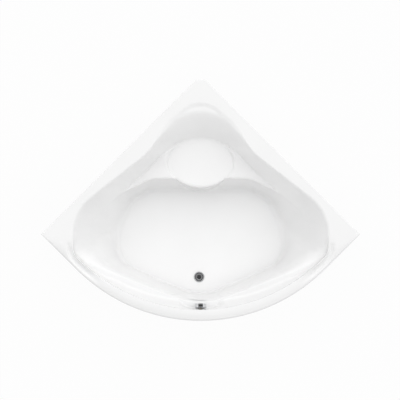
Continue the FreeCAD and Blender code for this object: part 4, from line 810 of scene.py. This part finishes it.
class BATH_OT_knob(bpy.types.Operator):
    """Turning knob over the overflow: drum, rounded edges, a shallow recessed band round its side and grip
    ridge
    """
    bl_idname = "bath.knob"
    bl_label = "Overflow knob"

    def execute(self, context):
        back = PLATE_HIGH[1] - KNOB_HIGH[1]
        end = PLATE_HIGH[1] - KNOB_LOW[1] - GRIP_HEIGHT
        radius = (KNOB_HIGH[2] - KNOB_LOW[2]) / 2
        inner = radius - KNOB_WALL
        corners = [(SPINDLE_HOLE, back + KNOB_WALL, 0), (KNOB_HUB, back + KNOB_WALL, 0.0006),
                   (KNOB_HUB, end - KNOB_WALL, 0.001), (inner, end - KNOB_WALL, 0.002),
                   (inner, back, 0.0008), (radius, back, 0.0008), (radius, back + 0.005, 0.0004),
                   (radius - 0.0008, back + 0.006, 0.0004), (radius - 0.0008, end - 0.008, 0.0004),
                   (radius, end - 0.007, 0.0004), (radius, end, 0.005), (0.0, end + 0.0004, 0),
                   (0.0, end - 0.002, 0), (SPINDLE_HOLE, end - 0.002, 0)]
        place = Vector((KNOB_X, PLATE_HIGH[1], KNOB_Z))
        points, faces = lathe(rounded_profile(corners), place, INTO_TUB, around=120)
        drum = outwards(piece("knob_drum", points, faces, "chrome", "knob"))
        half_long = radius - 0.005
        half_wide = GRIP_WIDTH / 2
        mesh = bmesh.new()
        bmesh.ops.create_cube(mesh, size=1.0, matrix=Matrix.Translation((0, 0, end + GRIP_HEIGHT / 2 - 0.0005))
                              @ Matrix.Diagonal((2 * half_long, 2 * half_wide, GRIP_HEIGHT + 0.001, 1)))
        bmesh.ops.bevel(mesh, geom=mesh.edges[:], offset=0.0018, segments=4, affect="EDGES", profile=0.5)
        bmesh.ops.transform(mesh, matrix=Matrix.Translation(place) @ INTO_TUB, verts=mesh.verts)
        grip_points = [tuple(vert.co) for vert in mesh.verts]
        grip_faces = [tuple(vert.index for vert in face.verts) for face in mesh.faces]
        mesh.free()
        outwards(piece("knob_grip", grip_points, grip_faces, "chrome", "knob"))
        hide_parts("overflow_knob")
        return {"FINISHED"}


class BATH_OT_waste(bpy.types.Operator):
    """Plug cap with its dished top and raised bead, over the polished waste flange"""
    bl_idname = "bath.waste"
    bl_label = "Plug cap"

    def execute(self, context):
        low, high = CAP_LOW[2], CAP_HIGH[2]
        radius = (CAP_HIGH[0] - CAP_LOW[0]) / 2
        corners = [(0.0, low, 0), (radius - 0.001, low, 0.0006), (radius, low + 0.0012, 0.0007),
                   (radius - 0.0025, low + 0.0034, 0.001), (radius - 0.0085, low + 0.0042, 0.001),
                   (radius - 0.0100, low + 0.0030, 0.0008), (radius - 0.0135, low + 0.0030, 0.0008),
                   (radius - 0.0150, low + 0.0043, 0.001), (0.0, high, 0)]
        points, faces = lathe(rounded_profile(corners), Vector((WASTE_X, WASTE_Y, 0)), Matrix(), around=96)
        cap = outwards(piece("domed_plug_cap", points, faces, "chrome", "plug"))
        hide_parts("plug_cap")
        return {"FINISHED"}


class BATH_OT_face_plate(bpy.types.Operator):
    """Overflow face plate behind the knob, with a rolled edge"""
    bl_idname = "bath.face_plate"
    bl_label = "Overflow face plate"

    def execute(self, context):
        thick = PLATE_HIGH[1] - PLATE_LOW[1]
        radius = (PLATE_HIGH[0] - PLATE_LOW[0]) / 2
        corners = [(PLATE_HOLE, 0.0, 0), (radius, 0.0, 0.0004), (radius, thick, 0.0028),
                   (PLATE_HOLE, thick, 0.0008)]
        place = Vector((KNOB_X, PLATE_LOW[1], KNOB_Z))
        points, faces = lathe(rounded_profile(corners), place, OUT_OF_TUB, around=96)
        plate = outwards(piece("rolled_face_plate", points, faces, "chrome", "bath"))
        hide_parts("overflow_face_plate")
        return {"FINISHED"}


THREAD_PITCH = 0.00175
THREAD_DEPTH = 0.0010


def thread_tree():
    """Node tree of a threaded stud: core, helical ridge and finish, sizes as inputs."""
    tree = bpy.data.node_groups.new("threaded_stud", "GeometryNodeTree")
    face = tree.interface
    face.new_socket("Geometry", in_out="OUTPUT", socket_type="NodeSocketGeometry")
    for name in ("Radius", "Depth", "Pitch", "Length"):
        face.new_socket(name, in_out="INPUT", socket_type="NodeSocketFloat")
    face.new_socket("Foot", in_out="INPUT", socket_type="NodeSocketVector")
    face.new_socket("Finish", in_out="INPUT", socket_type="NodeSocketMaterial")
    nodes, links = tree.nodes, tree.links
    given = nodes.new("NodeGroupInput").outputs
    result = nodes.new("NodeGroupOutput")

    def sum_of(operation, first, second):
        node = nodes.new("ShaderNodeMath")
        node.operation = operation
        for socket, value in zip(node.inputs, (first, second)):
            if isinstance(value, (int, float)):
                socket.default_value = value
            else:
                links.new(value, socket)
        return node.outputs[0]

    core_radius = sum_of("SUBTRACT", given["Radius"], given["Depth"])
    core = nodes.new("GeometryNodeMeshCylinder")
    core.inputs["Vertices"].default_value = 32
    links.new(core_radius, core.inputs["Radius"])
    links.new(given["Length"], core.inputs["Depth"])
    raise_core = nodes.new("GeometryNodeTransform")
    lift = nodes.new("ShaderNodeCombineXYZ")
    links.new(sum_of("MULTIPLY", given["Length"], 0.5), lift.inputs["Z"])
    links.new(core.outputs["Mesh"], raise_core.inputs["Geometry"])
    links.new(lift.outputs["Vector"], raise_core.inputs["Translation"])
    helix = nodes.new("GeometryNodeCurveSpiral")
    helix.inputs["Resolution"].default_value = 20
    run = sum_of("SUBTRACT", given["Length"], sum_of("MULTIPLY", given["Pitch"], 2.0))
    links.new(sum_of("DIVIDE", run, given["Pitch"]), helix.inputs["Rotations"])
    links.new(core_radius, helix.inputs["Start Radius"])
    links.new(core_radius, helix.inputs["End Radius"])
    links.new(run, helix.inputs["Height"])
    raise_helix = nodes.new("GeometryNodeTransform")
    start = nodes.new("ShaderNodeCombineXYZ")
    links.new(given["Pitch"], start.inputs["Z"])
    links.new(helix.outputs["Curve"], raise_helix.inputs["Geometry"])
    links.new(start.outputs["Vector"], raise_helix.inputs["Translation"])
    ridge = nodes.new("GeometryNodeCurvePrimitiveCircle")
    ridge.inputs["Resolution"].default_value = 4
    links.new(sum_of("MULTIPLY", given["Depth"], 0.98), ridge.inputs["Radius"])
    sweep = nodes.new("GeometryNodeCurveToMesh")
    sweep.inputs["Fill Caps"].default_value = True
    links.new(raise_helix.outputs["Geometry"], sweep.inputs["Curve"])
    links.new(ridge.outputs["Curve"], sweep.inputs["Profile Curve"])
    join = nodes.new("GeometryNodeJoinGeometry")
    links.new(raise_core.outputs["Geometry"], join.inputs["Geometry"])
    links.new(sweep.outputs["Mesh"], join.inputs["Geometry"])
    place = nodes.new("GeometryNodeTransform")
    links.new(join.outputs["Geometry"], place.inputs["Geometry"])
    links.new(given["Foot"], place.inputs["Translation"])
    real = nodes.new("GeometryNodeRealizeInstances")
    links.new(place.outputs["Geometry"], real.inputs["Geometry"])
    finish = nodes.new("GeometryNodeSetMaterial")
    links.new(real.outputs["Geometry"], finish.inputs["Geometry"])
    links.new(given["Finish"], finish.inputs["Material"])
    links.new(finish.outputs["Geometry"], result.inputs["Geometry"])
    return tree


class BATH_OT_studs(bpy.types.Operator):
    """Threaded studs of the five adjustable feet"""
    bl_idname = "bath.studs"
    bl_label = "Threaded studs"

    def execute(self, context):
        tree = thread_tree()
        sockets = {item.name: item.identifier for item in tree.interface.items_tree
                   if item.in_out == "INPUT"}
        for body in frame["bodies"]:
            if not body.startswith("foot_"):
                continue
            node = body.replace("foot_", "foot_stud_", 1)
            low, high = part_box(node)
            item = piece(node.replace("foot_stud", "threaded_stud"), [], [], "zinc_steel", body)
            growth = item.modifiers.new("threads", "NODES")
            growth.node_group = tree
            given = {"Radius": (high[0] - low[0]) / 2, "Depth": THREAD_DEPTH, "Pitch": THREAD_PITCH,
                     "Length": high[2] - low[2],
                     "Foot": (middle(low, high, 0), middle(low, high, 1), low[2]),
                     "Finish": finishes()["zinc_steel"]}
            for name, value in given.items():
                growth[sockets[name]] = value
            apply_modifiers(item)
            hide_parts(node)
        return {"FINISHED"}


class BATH_OT_front_batten(bpy.types.Operator):
    """Batten glued under the front rim, planed to the rim's fall"""
    bl_idname = "bath.front_batten"
    bl_label = "Front batten"

    def execute(self, context):
        low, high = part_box("front_rim_batten")
        hub_y = FRONT_Y + FRONT_RADIUS * MM
        outer = hub_y - low[1]
        spread_angle = math.asin(high[0] / outer)
        inner = outer - BATTEN_WIDTH
        form = Form()
        points = []
        turns = np.linspace(-spread_angle, spread_angle, 61)
        for angle in turns:
            for radius, top in ((inner, False), (outer, False), (outer, True), (inner, True)):
                x, y = radius * math.sin(angle), hub_y - radius * math.cos(angle)
                rim = float(form.height(np.array([(x, y)]) / MM)[0]) * MM
                points.append((x, y, rim - sizes().wall - 0.0015 if top else low[2]))
        faces = [(0, 1, 2, 3), tuple(len(points) - 4 + i for i in (3, 2, 1, 0))]
        for step in range(len(turns) - 1):
            here = step * 4
            faces += [(here + i, here + 4 + i, here + 4 + (i + 1) % 4, here + (i + 1) % 4) for i in range(4)]
        item = outwards(piece("planed_batten", points, faces, "chipboard", "bath", smooth=False))
        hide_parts("front_rim_batten")
        return {"FINISHED"}


class BATH_OT_finishes(bpy.types.Operator):
    """Gives every carried-over node the material of its slot"""
    bl_idname = "bath.finishes"
    bl_label = "Finishes"

    def execute(self, context):
        made = finishes()
        for part in frame["record"]["subparts"]:
            node = frame["nodes"][part["node"]]
            node.data.materials.clear()
            node.data.materials.append(made[part["material_slot"]])
        return {"FINISHED"}


# ---------------------------------------------------------------- stage
PICTURE = 400
PIXEL = 0.006654
CAMERA_HEIGHT = 6.0
FLOOR_HALF = 30.0
AIM_X = -0.0040
AIM_Y = 0.0007
WORLD_STRENGTH = 0.66
SHADOW_SHARE = 0.04
CARD_RADIUS = 8.0
CARD_HEIGHT = 8.0
CARD_GREY = 0.08
LAMPS = [
    ("high_window", "SUN", (0.55, 1.75, 4.20), (0, 0, 0), 1.52, math.radians(88)),
]


class BATH_OT_stage(bpy.types.Operator):
    """Floor, world, lamps and the camera straight above"""
    bl_idname = "bath.stage"
    bl_label = "Stage"

    def execute(self, context):
        scene = context.scene
        mesh = bpy.data.meshes.new("floor")
        mesh.from_pydata([(-FLOOR_HALF, -FLOOR_HALF, 0), (FLOOR_HALF, -FLOOR_HALF, 0),
                          (FLOOR_HALF, FLOOR_HALF, 0), (-FLOOR_HALF, FLOOR_HALF, 0)], [], [(0, 1, 2, 3)])
        floor = bpy.data.objects.new("floor", mesh)
        context.collection.objects.link(floor)
        mesh.materials.append(floor_material())
        dark_card(context)
        scene.world = world()
        for lamp in LAMPS:
            add_lamp(*lamp)
        view = bpy.data.cameras.new("plan_camera")
        view.type = "ORTHO"
        view.ortho_scale = PICTURE * PIXEL
        camera = bpy.data.objects.new("plan_camera", view)
        camera.location = (AIM_X, AIM_Y, CAMERA_HEIGHT)
        context.collection.objects.link(camera)
        scene.camera = camera
        scene.view_settings.view_transform = "Standard"
        return {"FINISHED"}


def camera_rays(tree):
    """1 for what the camera, gloss or glass sees directly, else 0."""
    path = tree.nodes.new("ShaderNodeLightPath")
    total = None
    for name in ("Is Camera Ray", "Is Glossy Ray", "Is Transmission Ray"):
        if total is None:
            total = path.outputs[name]
            continue
        add = tree.nodes.new("ShaderNodeMath")
        add.operation = "MAXIMUM"
        tree.links.new(total, add.inputs[0])
        tree.links.new(path.outputs[name], add.inputs[1])
        total = add.outputs[0]
    return total


def floor_material():
    """Pale floor that the camera sees as white paper, with a light shadow."""
    material, tree, shader, place = new_material("pale_floor")
    tone = colours().floor
    drift = noise(tree, place, 1.5, 2.0)
    tree.links.new(ramp(tree, drift, [(0.3, shade(tone, 0.99)), (0.7, shade(tone, 1.01))]),
                   shader.inputs["Base Color"])
    shader.inputs["Roughness"].default_value = 0.9
    glow = tree.nodes.new("ShaderNodeEmission")
    glow.inputs["Strength"].default_value = 1.0
    mix = tree.nodes.new("ShaderNodeMixShader")
    share = tree.nodes.new("ShaderNodeMath")
    share.operation = "MULTIPLY"
    share.inputs[1].default_value = 1.0 - SHADOW_SHARE
    tree.links.new(camera_rays(tree), share.inputs[0])
    tree.links.new(share.outputs[0], mix.inputs["Fac"])
    tree.links.new(shader.outputs["BSDF"], mix.inputs[1])
    tree.links.new(glow.outputs["Emission"], mix.inputs[2])
    out = [node for node in tree.nodes if node.type == "OUTPUT_MATERIAL"][0]
    tree.links.new(mix.outputs["Shader"], out.inputs["Surface"])
    return material


def dark_card(context):
    """Dark card high over the bath that only polished and glossy surfaces mirror."""
    mesh = bpy.data.meshes.new("dark_card")
    disc = bmesh.new()
    bmesh.ops.create_circle(disc, cap_ends=True, segments=64, radius=CARD_RADIUS,
                            matrix=Matrix.Translation((0, 0, CARD_HEIGHT)))
    disc.to_mesh(mesh)
    disc.free()
    material = bpy.data.materials.new("dark_card")
    material.use_nodes = True
    tree = material.node_tree
    tree.nodes.clear()
    glow = tree.nodes.new("ShaderNodeEmission")
    glow.inputs["Color"].default_value = (CARD_GREY, CARD_GREY, CARD_GREY, 1)
    out = tree.nodes.new("ShaderNodeOutputMaterial")
    tree.links.new(glow.outputs["Emission"], out.inputs["Surface"])
    mesh.materials.append(material)
    card = bpy.data.objects.new("dark_card", mesh)
    card.visible_camera = False
    card.visible_diffuse = False
    card.visible_shadow = False
    card.visible_transmission = False
    card.visible_volume_scatter = False
    context.collection.objects.link(card)


def world():
    """Even pale light from all sides; the camera sees it as white."""
    made = bpy.data.worlds.new("studio")
    made.use_nodes = True
    tree = made.node_tree
    tree.nodes.clear()
    out = tree.nodes.new("ShaderNodeOutputWorld")
    soft = tree.nodes.new("ShaderNodeBackground")
    soft.inputs["Strength"].default_value = WORLD_STRENGTH
    seen = tree.nodes.new("ShaderNodeBackground")
    seen.inputs["Strength"].default_value = 1.0
    mix = tree.nodes.new("ShaderNodeMixShader")
    tree.links.new(camera_rays(tree), mix.inputs["Fac"])
    tree.links.new(soft.outputs["Background"], mix.inputs[1])
    tree.links.new(seen.outputs["Background"], mix.inputs[2])
    tree.links.new(mix.outputs["Shader"], out.inputs["Surface"])
    for node in (soft, seen):
        node.inputs["Color"].default_value = (1, 1, 1, 1)
    return made


def add_lamp(name, kind, place, aim, power, size):
    light = bpy.data.lights.new(name, kind)
    light.energy = power
    if kind == "SUN":
        light.angle = size
    else:
        light.size = size
    lamp = bpy.data.objects.new(name, light)
    lamp.location = place
    lamp.visible_glossy = False
    lamp.rotation_euler = (Vector(aim) - Vector(place)).to_track_quat("-Z", "Y").to_euler()
    bpy.context.collection.objects.link(lamp)
    return lamp


OPERATORS = (BATH_OT_finishes, BATH_OT_shell, BATH_OT_front_batten, BATH_OT_knob, BATH_OT_face_plate,
             BATH_OT_waste, BATH_OT_studs, BATH_OT_stage)


class BATH_PT_panel(bpy.types.Panel):
    """Lists the bath's pieces, sizes and colours"""
    bl_label = "Corner bath"
    bl_idname = "BATH_PT_panel"
    bl_space_type = "VIEW_3D"
    bl_region_type = "UI"
    bl_category = "Bath"

    def draw(self, context):
        for operator in OPERATORS:
            self.layout.operator(operator.bl_idname)
        for group in (context.scene.bath_sizes, context.scene.bath_colours):
            column = self.layout.column()
            for name in group.bl_rna.properties.keys():
                if name not in ("rna_type", "name"):
                    column.prop(group, name)


CLASSES = (BathSizes, BathColours, *OPERATORS, BATH_PT_panel)


def register():
    for item in CLASSES:
        bpy.utils.register_class(item)
    bpy.types.Scene.bath_sizes = PointerProperty(type=BathSizes)
    bpy.types.Scene.bath_colours = PointerProperty(type=BathColours)


def unregister():
    del bpy.types.Scene.bath_colours
    del bpy.types.Scene.bath_sizes
    for item in reversed(CLASSES):
        bpy.utils.unregister_class(item)


def main():
    register()
    for operator in OPERATORS:
        group, name = operator.bl_idname.split(".")
        getattr(getattr(bpy.ops, group), name)()


if __name__ == "__main__":
    main()
